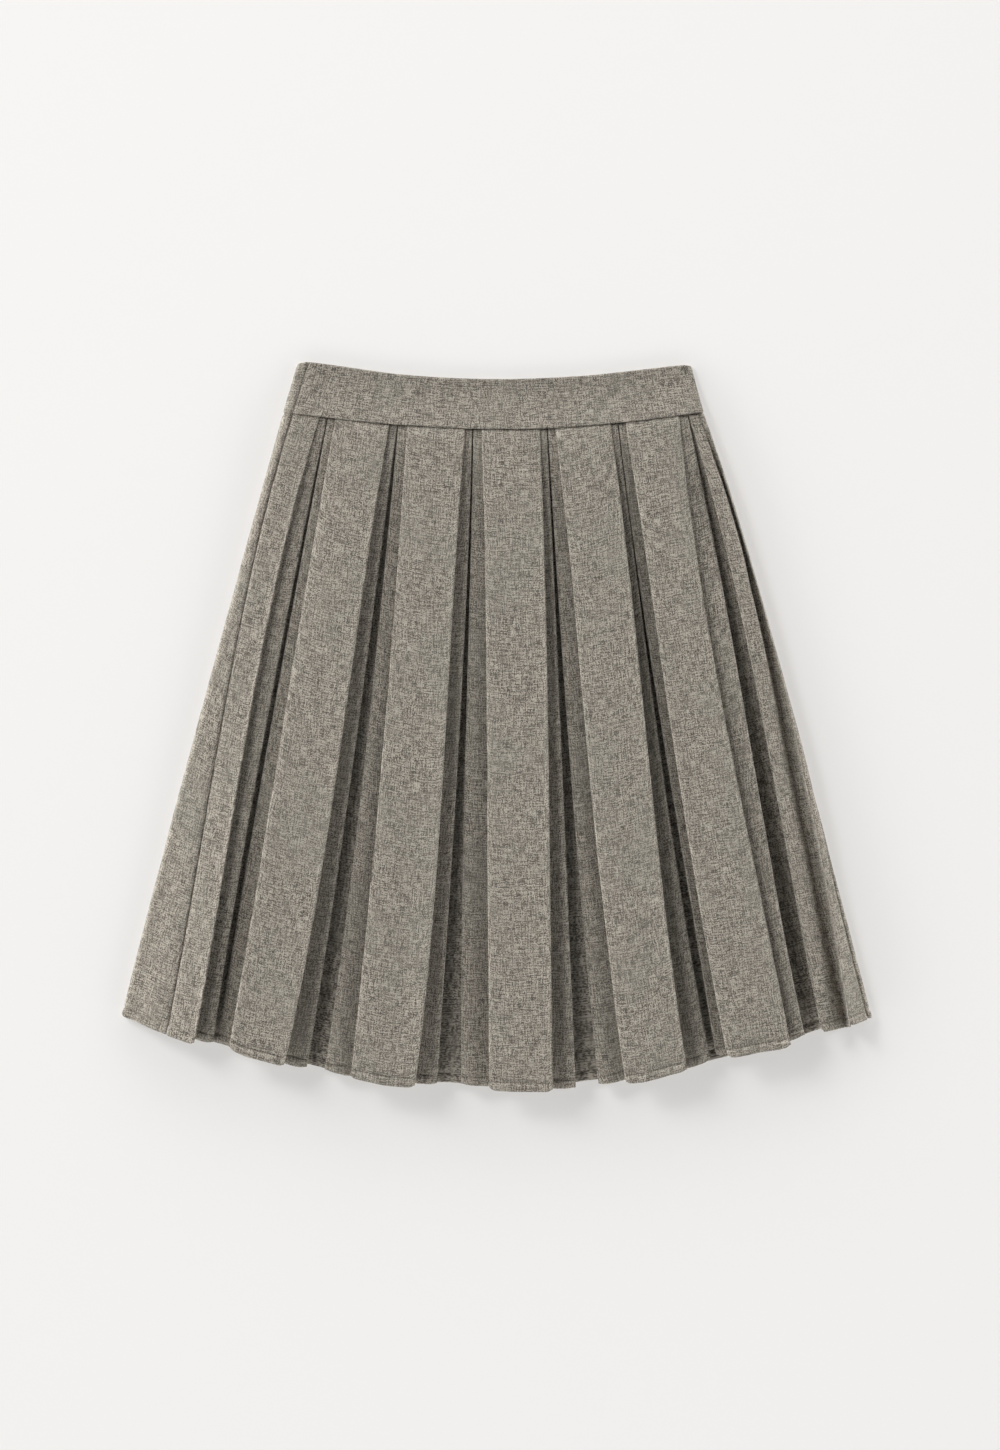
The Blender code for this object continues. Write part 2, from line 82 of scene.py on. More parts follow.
# Under the waistband the front's layers are pressed closer together than in the solids
PRESSED_PITCH = 0.62
PRESSED_SHARE = 0.12

# The hem's arc, and how far hidden layers end above it
HEM_LOWEST_Y = -321.0
HEM_ARC_RADIUS = 830.0
UNDERLAY_RAISE = 2.5
BACK_RAISE = 8.0

# Pleat returns stop short of the box's middle; strips and returns open towards the hem
RETURN_GAP = 3.0
OPENING_POWER = 0.6

# How each strip stands: which share of the spare height its fold and its inner end take,
# how late it bends between the two, and how far it is rounded up before its fold
Strip = namedtuple("Strip", "box side fold inner bend bulge")
PLAIN_STRIPS = {
    1: Strip("any", 1, 0.4, 0.3, 1.5, 0.0),
    -1: Strip("any", -1, 0.25, 0.0, 0.8, 2.2),
}
SPECIAL_STRIPS = (
    Strip("A", 1, 0.5, 0.45, 1.0, 0.0),
    Strip("B", -1, 0.08, 0.0, 1.5, 0.0),
    Strip("D", 1, 0.5, 0.25, 3.0, 0.0),
    Strip("E", 1, 0.45, 0.25, 2.5, 0.0),
    Strip("F", -1, 0.3, 0.0, 1.5, 0.0),
    Strip("F", 1, 0.92, 0.65, 1.5, 0.0),
)

# Brings the rounding's curve to a height of 1; only strips longer than the start have it
BULGE_SCALE = 12.2
BULGE_START = 28.0
BULGE_RUN = 12.0

# The last half box: its strip stands open over a valley, whose far side is a standing crest
VALLEY_Z = 7.1
VALLEY_START = 0.28
VALLEY_RUN = 0.3
VALLEY_FOOT = 0.5
VALLEY_FLOOR_PLACE = 0.75
VALLEY_FLOOR_RISE = 0.4
LAST_OPENED_SHARE = 0.14
Ends = namedtuple("Ends", "waist hem")
VALLEY_REACH = Ends(2.5, 9.0)
LAST_STRIP_LIFT = Ends(5.0, 10.5)
LAST_CREST_LIFT = Ends(4.5, 7.0)
CREST_FALL = Ends(4.0, 1.0)

# Places across that strip and shares of its drop, above and below the start of the valley
ShapeRow = namedtuple("ShapeRow", "place drop low_place low_drop")
LAST_STRIP_SHAPE = (
    ShapeRow(0.45, 0.0, 0.4, 0.1),
    ShapeRow(0.95, 0.1, 0.85, 0.55),
)

# Heights at which the fold table gives places between the waist and hem ends
UPPER_Y = 110.7
LOWER_Y = -65.3

Point = namedtuple("Point", "x y")
Fold = namedtuple("Fold", "box edge waist upper lower hem hem_y")
BackRow = namedtuple("BackRow", "name waist hem")

# A point of a section: its distance along the tube and depth inside it, its height on the
# skirt, its layer from the outermost one, its place across its face (-1 to 1) and its box
Knot = namedtuple("Knot", "along depth y layer across box")

# Waist seam, top edge, sides and side seams, read from the photograph
SEAM_LINE = (
    Point(-188.5, 275.9),
    Point(-85.0, 265.0),
    Point(20.0, 261.2),
    Point(113.0, 267.3),
    Point(182.7, 276.3),
)
TOP_LINE = (
    Point(-175.4, 319.6),
    Point(-165.0, 320.8),
    Point(-80.0, 309.6),
    Point(0.0, 305.9),
    Point(77.0, 308.9),
    Point(165.0, 318.2),
    Point(172.0, 317.2),
)
LEFT_SIDE = Fold("side", "left", -188.5, -234.2, -281.9, -331.0, -255.4)
RIGHT_SIDE = Fold("side", "right", 182.7, 234.2, 281.7, 331.0, -254.9)
LEFT_SEAM = Fold("seam", "left", -179.6, -221.2, -253.7, -290.2, -271.0)
LEFT_BAND_SEAM_TOP_X = -165.7
RIGHT_SEAM_PAST_SIDE = Fold("seam", "right", 12.0, 6.5, -2.5, -7.0, -257.0)

FRONT_FOLDS = (
    Fold("A", "right", -155.6, -196.9, -229.2, -265.5, -280.9),
    Fold("A", "right_strip", -149.2, -181.2, -214.2, -249.5, -280.0),
    Fold("B", "left_strip", -148.6, -178.9, -210.7, -246.8, -279.6),
    Fold("B", "left", -141.7, -170.1, -198.7, -235.6, -284.0),
    Fold("B", "right", -94.3, -118.4, -143.7, -186.5, -299.9),
    Fold("B", "right_strip", -87.3, -107.0, -130.5, -166.8, -302.4),
    Fold("C", "left_strip", -86.7, -101.5, -120.2, -151.7, -305.1),
    Fold("C", "left", -78.7, -89.8, -104.1, -129.0, -310.4),
    Fold("C", "right", -27.5, -37.9, -48.2, -71.5, -317.9),
    Fold("C", "right_strip", -21.1, -26.5, -35.9, -52.3, -316.4),
    Fold("D", "left_strip", -20.5, -24.1, -28.7, -31.3, -317.0),
    Fold("D", "left", -13.2, -10.0, -8.4, -6.7, -320.5),
    Fold("D", "right", 38.0, 43.2, 46.3, 49.5, -321.2),
    Fold("D", "right_strip", 44.4, 51.6, 59.3, 69.9, -320.4),
    Fold("E", "left_strip", 45.0, 54.3, 67.0, 89.5, -316.6),
    Fold("E", "left", 51.6, 67.5, 83.7, 113.4, -314.8),
    Fold("E", "right", 100.3, 119.4, 137.6, 167.6, -303.8),
    Fold("E", "right_strip", 106.6, 126.5, 150.4, 188.7, -296.5),
    Fold("F", "left_strip", 107.2, 127.6, 155.5, 193.1, -292.4),
    Fold("F", "left", 113.4, 136.6, 162.9, 202.8, -291.9),
    Fold("F", "right", 161.0, 182.2, 214.9, 258.6, -281.6),
    Fold("F", "right_strip", 168.1, 201.2, 231.8, 271.2, -274.1),
    Fold("G", "left_strip", 168.7, 212.0, 246.8, 285.5, -269.0),
    Fold("G", "valley", 176.8, 226.1, 264.4, 306.6, -265.5),
    Fold("G", "left", 181.6, 232.7, 275.8, 311.0, -264.2),
)
FRONT_BOXES = ("B", "C", "D", "E", "F")

# Lines of the back, which doesn't show and is evenly pleated
BACK_HALF_LEFT = BackRow("left half box's fold", -172.0, -312.0)
BACK_HALF_RIGHT = BackRow("right half box's fold", 150.0, 312.0)
BACK_FACE = BackRow("box face width", 46.4, 55.0)
BACK_STRIP = BackRow("strip width", 7.0, 22.0)
BACK_GAP = BackRow("space between two boxes", 14.6, 58.0)
BACK_BOX_COUNT = 5
BACK_HEM_SHIFTS = (3.0, -2.0, 1.5, -3.0, 2.0)
BACK_RETURN_REACH = 2.0
TURN_UP_SHARE = 0.4

# How each face bends across its width and where its soft trough runs, in millimetres:
# lifts of its edges at the hem, the trough's place, depth, width, start and end, and the rim
FaceBend = namedtuple("FaceBend", "box left right trough depth width start end rim")
FACE_BENDS = (
    FaceBend("A", 0.0, 0.5, 0.1, 0.35, 6.0, 0.25, 0.9, 0.85),
    FaceBend("B", 0.1, 0.9, -0.35, 0.5, 9.0, 0.2, 0.75, 0.85),
    FaceBend("C", 0.1, 1.0, 0.25, 0.45, 8.0, 0.35, 1.0, 0.85),
    FaceBend("D", 0.2, 0.5, -0.2, 0.4, 10.0, 0.1, 0.6, 0.85),
    FaceBend("E", 0.3, 0.3, 0.35, 0.5, 8.0, 0.45, 1.0, 0.85),
    FaceBend("F", 0.6, 0.1, -0.3, 0.45, 9.0, 0.15, 0.7, 0.85),
    FaceBend("G", 0.5, 0.0, 0.2, 0.3, 6.0, 0.3, 0.9, 0.85),
    FaceBend("back0", 0.0, 0.0, 0.3, 0.3, 8.0, 0.2, 0.8, 0.0),
    FaceBend("back1", 0.0, 0.0, -0.25, 0.35, 9.0, 0.3, 0.9, 0.0),
    FaceBend("back2", 0.0, 0.0, 0.15, 0.3, 7.0, 0.1, 0.6, 0.0),
    FaceBend("back3", 0.0, 0.0, -0.3, 0.4, 10.0, 0.4, 1.0, 0.0),
    FaceBend("back4", 0.0, 0.0, 0.25, 0.3, 8.0, 0.25, 0.85, 0.0),
)
HALF_FACE = 25.0
BEND_POWER = 3
TROUGH_FADE = 0.2
RIM_POWER = 12
RIM_START = 0.04
RIM_FADE = 0.12

# The short dent under the waist seam, on each of the front's boxes
FaceDent = namedtuple("FaceDent", "across share depth width fade")
FACE_DENT = FaceDent(-0.12, 0.008, 1.0, 2.4, 0.028)

# Long low waves in the cloth: height, length across, length down and phase
Wave = namedtuple("Wave", "height across down phase")
WAVES = (
    Wave(0.16, 61.0, 240.0, 0.4),
    Wave(0.12, 37.0, 150.0, 2.1),
    Wave(0.09, 23.0, 96.0, 4.0),
    Wave(0.07, 88.0, 41.0, 1.2),
)
WAVE_LAYER_TURN = 1.7
WAVE_AT_WAIST = 0.25
GROWN_SHARE = 0.5

# Short ripples of sewn lines, of the hem and of the band: height, length, phase, and how far
# the phase moves with the layer or the share
Ripple = namedtuple("Ripple", "height across phase shift")
WAIST_PUCKERS = (Ripple(0.11, 2.3, 0.4, 0.0), Ripple(0.066, 1.27, 2.0, 0.0))
STITCH_PUCKERS = (Ripple(0.16, 2.9, 0.0, 0.7),)
HEM_WANDER = (Ripple(0.5, 11.0, 0.0, 1.3), Ripple(0.25, 6.3, 2.0, 0.0))
BAND_WAVES = (Ripple(0.12, 9.0, 0.0, 3.0), Ripple(0.1, 17.0, 1.0, -2.0))
BAND_PUCKERS = (Ripple(0.084, 2.1, 1.0, 0.0), Ripple(0.056, 1.3, 0.0, 0.0))

# Half of the groove between two seamed edges, and how deep the cloth rolls into it
SEAM_HALF = 0.3
SEAM_ROLL = 1.1
SEAM_ROLL_WIDTH = 1.2
SEAM_ROLL_REACH = 6.0
SEAM_ROLL_PLACES = (0.5, 1.2, 2.4)

# Shares of the way from the waist seam to the hem
TUCK_SHARE = -0.0025
STITCH_SHARE = 0.9865
UPPER_ROWS = (TUCK_SHARE, 0.0, 0.006, 0.015, 0.03, 0.05)
LOWER_ROWS = (0.965, 0.976, 0.9835, STITCH_SHARE, 0.9895, 0.993, 0.9965, 0.9985, 1.0)
MIDDLE_ROWS = 44
MIDDLE_ROW_ENDS = (0.075, 0.955)
TUCK_DEPTH = 0.9

# Dents along the waist seam, the stitches and the hem: depth, share of the way and width
CLOTH_LENGTH = 580.0
SewnDent = namedtuple("SewnDent", "depth share width")
SEWN_DENTS = (
    SewnDent(0.9, 0.0, 2.2 / CLOTH_LENGTH),
    SewnDent(0.8, STITCH_SHARE, 0.0022),
    SewnDent(0.7, 1.0, 0.0028),
)
WAIST_PUCKER_PLACE = 5.0
WAIST_PUCKER_WIDTH = 14.0
STITCH_PUCKER_WIDTH = 0.009
HEM_FOLD_RISE = 0.4
HEM_FOLD_RUN = 0.004
HIDDEN_LIFT = 0.05
LIFT_LIMITS = (-1.1, 1.2)

# How the hem strays from its line: from which shares on, the sag of a face, raised corners
HEM_START = 0.93
HEM_EDGE_START = 0.985
HEM_SAG = 0.9
CORNER_RAISE = 2.3
FACE_CORNER_POWER = 12
STRIP_CORNER_POWER = 8

# Points laid along each stretch of a section, and the sharpest mitre of a bend
FACE_PLACES = (0.025, 0.06, 0.11, 0.18, 0.27, 0.38, 0.5, 0.62, 0.75, 0.88)
RETURN_STEPS = 3
STRIP_STEPS = 12
UNDERLAY_STEPS = 10
FOLD_STEPS = 5
SIDE_STEPS = 6
TURN_UP_STEPS = 3
ROUNDED_STEPS = 4
MITRE_LIMIT = 0.3

# Shares of the way up the waistband, close together at its two rounded edges
BAND_ROWS = (0.0, 0.004, 0.012, 0.024, 0.04, 0.07, 0.12, 0.2, 0.3, 0.4, 0.5, 0.6, 0.7, 0.8,
             0.88, 0.93, 0.96, 0.976, 0.988, 0.996, 1.0)
BAND_DEPTH = 45.0
BAND_EDGE_ROUND = 2.0
BAND_EDGE_THINNEST = 0.02
BAND_STEPS = 110
BAND_END_ROLL = (0.0, 0.5, 1.2, 2.4)
BAND_END_INSET = 4.0

# Soft dents of the band: x, share of the way up, depth, width and height
BandDent = namedtuple("BandDent", "x share depth width tall")
BAND_DENTS = (
    BandDent(-150.0, 0.35, 0.35, 16.0, 0.5),
    BandDent(-120.6, 0.02, 0.55, 3.0, 0.22),
    BandDent(-98.0, 0.75, 0.25, 22.0, 0.35),
    BandDent(-57.0, 0.02, 0.45, 3.5, 0.2),
    BandDent(-30.0, 0.5, 0.3, 26.0, 0.5),
    BandDent(10.0, 0.02, 0.4, 3.5, 0.2),
    BandDent(48.0, 0.6, 0.3, 18.0, 0.45),
    BandDent(72.5, 0.02, 0.4, 3.0, 0.2),
    BandDent(112.0, 0.4, 0.35, 20.0, 0.5),
    BandDent(133.7, 0.02, 0.45, 3.0, 0.22),
    BandDent(158.0, 0.65, 0.3, 14.0, 0.4),
)
BAND_SEAM_FADE = 0.12
BAND_TOP_FADE = 0.1
BAND_TOP_PUCKER = 0.6

# Hem stitches: from one to the next, and each one's rings as shares of its length and radius
STITCH_PITCH = 3.0
STITCH_SIDES = 6
StitchRing = namedtuple("StitchRing", "along width")
STITCH_RINGS = (
    StitchRing(-0.5, 0.35),
    StitchRing(-0.36, 0.85),
    StitchRing(0.0, 1.0),
    StitchRing(0.36, 0.85),
    StitchRing(0.5, 0.35),
)
BACK_STITCH_SUNK = 0.3

# Each half unfolded, in metres: its hem's width, its length and the area of its tapered cut
Cut = namedtuple("Cut", "width length area")

# Noises of the wool: turns a millimetre across and down the cloth, detail and roughness
Fibre = namedtuple("Fibre", "name across down detail roughness")
FIBRES = (
    Fibre("grain", 0.95, 0.95, 1.0, 0.6),
    Fibre("warp", 0.85, 0.1, 2.0, 0.6),
    Fibre("weft", 0.1, 0.85, 2.0, 0.6),
    Fibre("slub", 0.05, 0.55, 1.0, 0.5),
    Fibre("warp_slub", 0.55, 0.04, 1.0, 0.5),
    Fibre("patch", 0.03, 0.03, 3.0, 0.6),
    Fibre("tone", 0.02, 0.012, 2.0, 0.5),
    Fibre("cloud", 0.07, 0.07, 2.0, 0.6),
)
GRAIN_SHARE = 0.42

# From which to which noise value an effect grows, and from which to which strength
Spread = namedtuple("Spread", "low high start end")
SPECKLE = Spread(0.455, 0.545, 0.0, 1.0)
SLUBS = Spread(0.585, 0.69, 0.0, 0.6)
WARMTH = Spread(0.4, 0.62, 0.0, 0.15)
COOLNESS = Spread(0.45, 0.65, 0.0, 0.2)
CLOUDS = Spread(0.3, 0.7, 0.9, 1.1)
MATTNESS = Spread(0.3, 0.7, 0.82, 0.97)
# The waistband's wool is the skirt's wool darkened by this share: painted shade on the band
BAND_PAINTED_SHADE = 0.88
SKIRT_SHADE = 1.0
NAP_SHEEN = 0.12
NAP_ROUGHNESS = 0.6
WOOL_SPECULAR = 0.2
WEAVE_RELIEF = 0.6
WEAVE_HEIGHT = 0.0008
# The thread's darker bands are painted shade of the grooves in its twist
THREAD_TWIST = 900.0
THREAD_PAINTED_SHADE = 0.7
THREAD_ROUGHNESS = 0.75
GROUND_SHADE = 0.995

# Turns a metre, detail and roughness of the ground's faint noise
GROUND_NOISE = (1.5, 2.0, 0.5)

# Places of a mix node's colour sockets
MIX_FIRST = 6
MIX_SECOND = 7
MIX_RESULT = 2

# The photograph's frame: its height in pixels, one pixel in millimetres, and its middle
IMAGE_HEIGHT = 1450
PIXEL = 0.88
IMAGE_CENTRE = Point(3.0, 0.7)

# Camera, ground and key light in metres, the camera's sensor in millimetres
CAMERA_HEIGHT = 5.0
CLOTH_LEVEL = 0.015
SENSOR_HEIGHT = 36.0
GROUND_REACH = 20.0
GROUND_DROP = 0.0002
GROUND_GLOW = 0.42
KEY_PLACE = (-5.4, 4.9, 4.9)
KEY_SIZE = 3.0
KEY_POWER = 400.0

# Light of the room: strong low down and dim overhead, and brighter towards the window
LOW_AIR = 5.0
HIGH_AIR = 0.03
AIR_HEIGHTS = (0.25, 0.45)
WINDOW_REACH = (-1.4, 1.4)
WINDOW_SHARES = (0.78, 1.22)


def mix(first, second, share):
    """Straight blend of two numbers."""
    return first + (second - first) * share


def between_ends(row, share):
    """Value a share of the way from a row's waist end to its hem end."""
    return mix(row.waist, row.hem, share)


def smooth_step(share):
    """Rise from 0 to 1 with level ends."""
    share = min(max(share, 0.0), 1.0)
    return share * share * (3.0 - 2.0 * share)


def hump(distance, width):
    """Bell of height 1 that fades out over a width."""
    return math.exp(-((distance / width) ** 2))


def curve_through(points, x):
    """Height at x of the smooth curve through a row of points."""
    if x <= points[0].x:
        return points[0].y
    if x >= points[-1].x:
        return points[-1].y
    index = max(i for i, point in enumerate(points[:-1]) if point.x <= x)
    start = points[index]
    end = points[index + 1]
    before = points[index - 1] if index > 0 else start
    after = points[index + 2] if index + 2 < len(points) else end
    span = end.x - start.x
    share = (x - start.x) / span
    slope_start = (end.y - before.y) / (end.x - before.x) * span
    slope_end = (after.y - start.y) / (after.x - start.x) * span
    square = share * share
    cube = square * share
    return (
        (2 * cube - 3 * square + 1) * start.y
        + (cube - 2 * square + share) * slope_start
        + (3 * square - 2 * cube) * end.y
        + (cube - square) * slope_end
    )


def seam_y(x):
    """Height of the waist seam at x."""
    return curve_through(SEAM_LINE, x)


def hem_arc_y(x):
    """Height of the hem's arc at x."""
    return HEM_LOWEST_Y + x * x / (2 * HEM_ARC_RADIUS)


def cubic_through(knots, place):
    """Value at a place of the cubic through four (place, value) knots."""
    total = 0.0
    for i, (place_i, value) in enumerate(knots):
        weight = 1.0
        for j, (place_j, _) in enumerate(knots):
            if j != i:
                weight *= (place - place_j) / (place_i - place_j)
        total += value * weight
    return total


def fold_point(fold, share, waist_y=None):
    """A fold line's x and y, a share of the way from its waist end to its hem end."""
    top_y = seam_y(fold.waist) if waist_y is None else waist_y
    y = mix(top_y, fold.hem_y, share)
    knots = (
        (top_y, fold.waist),
        (UPPER_Y, fold.upper),
        (LOWER_Y, fold.lower),
        (fold.hem_y, fold.hem),
    )
    return Point(cubic_through(knots, y), y)


def front_fold(box, edge, share):
    """Point on the named fold of the front."""
    fold = next(row for row in FRONT_FOLDS if row.box == box and row.edge == edge)
    return fold_point(fold, share)


def back_point(row, share):
    """Point on a straight line of the back."""
    hem_y = hem_arc_y(row.hem) + BACK_RAISE
    return Point(between_ends(row, share), mix(seam_y(row.waist), hem_y, share))


def moved(row, width, times):
    """A line of the back beside another one, a number of widths to the right."""
    return BackRow(row.name, row.waist + times * width.waist, row.hem + times * width.hem)


def back_box_centre(index):
    """Middle line of one of the back's boxes, counted from the left."""
    room = (index + 0.5) / BACK_BOX_COUNT
    first = moved(BACK_HALF_LEFT, BACK_GAP, 0.5)
    last = moved(BACK_HALF_RIGHT, BACK_GAP, -0.5)
    hem_x = mix(first.hem, last.hem, room) + BACK_HEM_SHIFTS[index]
    return BackRow("box middle", mix(first.waist, last.waist, room), hem_x)


class Tube:
    """Outer line of the flattened tube in one section.

    A distance along the line starts at its top, above x = 0, and grows to the right, round
    the right-hand side, back along the underside and up round the left-hand side. On the
    top it equals x. The underside lies at z = 0.
    """

    def __init__(self, left, right, left_edge, right_edge, middle, left_roll, right_roll):
        self.left_radius = left_edge / 2
        self.right_radius = right_edge / 2
        self.middle = middle
        self.left_roll = left_roll
        self.right_roll = right_roll
        self.left_bend = left + self.left_radius
        self.right_bend = right - self.right_radius
        self.right_quarter = self.right_bend + math.pi * self.right_radius / 2
        self.under_start = self.right_bend + math.pi * self.right_radius
        self.under_end = self.under_start + self.right_bend - self.left_bend
        self.length = self.under_end + math.pi * self.left_radius - self.left_bend

    def height(self, x):
        """Height of the top at x: the stack's own height, and more where the pleats open."""
        if self.middle <= 2 * self.left_radius:
            return self.middle
        from_left = max(x - self.left_bend, 0.0)
        from_right = max(self.right_bend - x, 0.0)
        stack = min(self.middle, WAIST_HEIGHT)
        low_left = mix(2 * self.left_radius, stack, smooth_step(from_left / self.left_roll))
        low_right = mix(2 * self.right_radius, stack, smooth_step(from_right / self.right_roll))
        rise = smooth_step(from_left / LEFT_RAMP) * smooth_step(from_right / RIGHT_RAMP)
        return min(low_left, low_right) + (self.middle - stack) * rise

    def on_top(self, x):
        """Distance along the line of the point at x on the upper side."""
        if x > self.right_bend:
            reach = min((x - self.right_bend) / self.right_radius, 1.0)
            return self.right_bend + self.right_radius * math.asin(reach)
        if x < self.left_bend:
            reach = min((self.left_bend - x) / self.left_radius, 1.0)
            return self.left_bend - self.left_radius * math.asin(reach)
        return x

    def underneath(self, x):
        """Distance along the line of the point at x on the underside."""
        return self.under_start + self.right_bend - x

    def spot(self, x, z):
        """Distance along the line, and depth, of a point on the upper side or at the right."""
        if x <= self.right_bend:
            return x, self.height(x) - z
        across = x - self.right_bend
        rise = z - self.right_radius
        turn = math.atan2(across, rise)
        return self.right_bend + turn * self.right_radius, self.right_radius - math.hypot(across, rise)

    def top(self, x):
        """Height of the outer line at x on the upper side, or on the right-hand bend."""
        across = x - self.right_bend
        if across <= 0:
            return self.height(x)
        return self.right_radius + math.sqrt(max(self.right_radius ** 2 - across ** 2, 0.0))

    def kept_up(self, along, lift):
        """A lift, or none where it would push the underside into the ground."""
        return min(lift, 0.0) if along > self.right_quarter else lift

    def place(self, along, depth):
        """The x and z of the point a distance along the line and a depth inside it."""
        if along < self.left_bend:
            along += self.length
        if along <= self.right_bend:
            return along, self.height(along) - depth
        if along <= self.under_start:
            turn = (along - self.right_bend) / self.right_radius
            reach = self.right_radius - depth
            x = self.right_bend + reach * math.sin(turn)
            return x, self.right_radius + reach * math.cos(turn)
        if along <= self.under_end:
            return self.right_bend - (along - self.under_start), depth
        turn = (along - self.under_end) / self.left_radius
        if turn <= math.pi:
            reach = self.left_radius - depth
            x = self.left_bend - reach * math.sin(turn)
            return x, self.left_radius - reach * math.cos(turn)
        x = along - self.length
        return x, self.height(x) - depth


def skirt_tube(share):
    """The skirt's tube a share of the way from the waist seam to the hem."""
    share = max(share, 0.0)
    return Tube(
        fold_point(LEFT_SIDE, share).x,
        fold_point(RIGHT_SIDE, share).x,
        mix(WAIST_HEIGHT, LEFT_HEM_EDGE, share),
        mix(WAIST_HEIGHT, RIGHT_HEM_EDGE, share),
        mix(WAIST_HEIGHT, HEM_HEIGHT, share ** OPENING_POWER),
        mix(ROLL_AT_WAIST, LEFT_ROLL, share),
        mix(ROLL_AT_WAIST, RIGHT_ROLL, share),
    )


def left_seam_along(tube, share):
    """Where the left side seam lies along the tube's outer line."""
    return tube.on_top(fold_point(LEFT_SEAM, share).x)


def right_seam_along(tube, share):
    """Where the right side seam lies along the tube's outer line."""
    past = fold_point(RIGHT_SEAM_PAST_SIDE, share, seam_y(RIGHT_SIDE.waist)).x
    return tube.right_quarter + past


def right_seam_y(share):
    """Height of the right side seam's point in a section."""
    return mix(seam_y(RIGHT_SIDE.waist), RIGHT_SEAM_PAST_SIDE.hem_y, share)


def blended(start, end, share, layer, across=0.0, box=""):
    """Knot between two others."""
    return Knot(
        mix(start.along, end.along, share),
        mix(start.depth, end.depth, share),
        mix(start.y, end.y, share),
        layer,
        across,
        box,
    )


def face_knot(along, y, box=""):
    """Knot of the outermost layer, just inside the outer line."""
    return Knot(along, WALL / 2, y, FACE, 0.0, box)


def stretch(start, end, steps, layer, across=(0.0, 0.0), box=""):
    """Knots between two others, both left out, evenly spaced."""
    return [
        blended(start, end, step / steps, layer, mix(*across, step / steps), box)
        for step in range(1, steps)
    ]


def front_pitch(share):
    """Height from one layer of a front pleat to the next, pressed flat below the waistband."""
    return mix(PRESSED_PITCH, LAYER_PITCH, smooth_step(share / PRESSED_SHARE))


def front_underlay(share):
    """Height of the front's lowest layer."""
    return UNDERLAY_Z + UNDERLAY * (LAYER_PITCH - front_pitch(share))


def round_fold(lay, side, x, y, depth, layer, pitch, box=""):
    """Knots round one fold, from its upper layer to the layer below it."""
    radius = pitch / 2
    knots = []
    for step in range(FOLD_STEPS):
        angle = math.pi / 2 - math.pi * step / (FOLD_STEPS - 1)
        fold_x = x + side * radius * (math.cos(angle) - 1.0)
        fold_depth = depth + radius - radius * math.sin(angle)
        step_layer = layer if step < FOLD_STEPS / 2 else layer + 1
        knots.append(Knot(lay(fold_x), fold_depth, y, step_layer, float(side), box))
    return knots


def pleat_side(lay, side, face, strip, middle, depth_of, pitch, box):
    """Knots down through one side of a box: face fold, return, strip fold, return, underlay."""
    inner_x = middle.x + side * RETURN_GAP / 2
    turns = (
        (side, face.x - side * WALL / 2, face.y, FACE),
        (-side, inner_x, middle.y, UPPER_RETURN),
        (side, strip.x - side * WALL / 2, strip.y, STRIP),
        (-side, inner_x, middle.y, LOWER_RETURN),
    )
    steps = (RETURN_STEPS, STRIP_STEPS, RETURN_STEPS)
    special = [row for row in SPECIAL_STRIPS if (row.box, row.side) == (box, side)]
    row = special[0] if special else PLAIN_STRIPS[side]
    knots = []
    for outward, x, y, layer in turns:
        fold = round_fold(lay, outward, x, y, depth_of(layer, x, row), layer, pitch, box)
        if knots:
            run = stretch(knots[-1], fold[0], steps[layer - 1], layer, (0.0, float(side)))
            knots += bent(run, knots[-1], fold[0], row) if layer == STRIP else run
        knots += fold
    return knots


def bent(run, start, end, row):
    """A strip's knots, which bend between the box and the fold and round up before the fold."""
    drop = end.depth - start.depth
    length = abs(end.along - start.along)
    bulge = BULGE_SCALE * row.bulge * smooth_step((length - BULGE_START) / BULGE_RUN)
    knots = []
    for step, knot in enumerate(run, 1):
        share = step / (len(run) + 1)
        rise = bulge * share ** 4 * (1.0 - share)
        knots.append(knot._replace(depth=start.depth + drop * share ** row.bend - rise))
    return knots


def front_depth(tube, share):
    """Depths of a front pleat's folds, which open where the tube is high."""
    pitch = front_pitch(share)

    def depth_of(layer, x, row):
        underlay = tube.height(x) - front_underlay(share)
        spare = underlay - WALL / 2 - UNDERLAY * pitch
        opening = (1.0, row.inner, row.fold, 0.0)[layer]
        return underlay - (UNDERLAY - layer) * pitch - opening * spare

    return depth_of


def back_depth(layer, *_):
    """Depths of a back pleat's folds, which lie flat on each other."""
    return WALL / 2 + layer * LAYER_PITCH


def box_knots(lay, folds, middle, centre, depth_of, pitch, box):
    """Knots of one whole box between two underlays; folds run in the path's own order."""
    first_strip, first, second, second_strip = folds
    order = 1 if lay(second.x) > lay(first.x) else -1
    side = 1 if second.x > first.x else -1
    rising = pleat_side(lay, -side, first, first_strip, middle, depth_of, pitch, box)
    rising.reverse()
    falling = pleat_side(lay, side, second, second_strip, middle, depth_of, pitch, box)
    crown = face_knot(lay(centre.x), centre.y, box)
    knots = rising
    knots += half_face(rising[-1], crown, -1.0 * order * side, box)
    knots.append(crown)
    knots += reversed(half_face(falling[0], crown, 1.0 * order * side, box))
    knots += falling
    return knots


def half_face(fold, crown, across, box):
    """Knots from a face's fold to its middle, closer together beside the fold."""
    return [
        blended(fold, crown, place, FACE, across * (1.0 - place), box) for place in FACE_PLACES
    ]


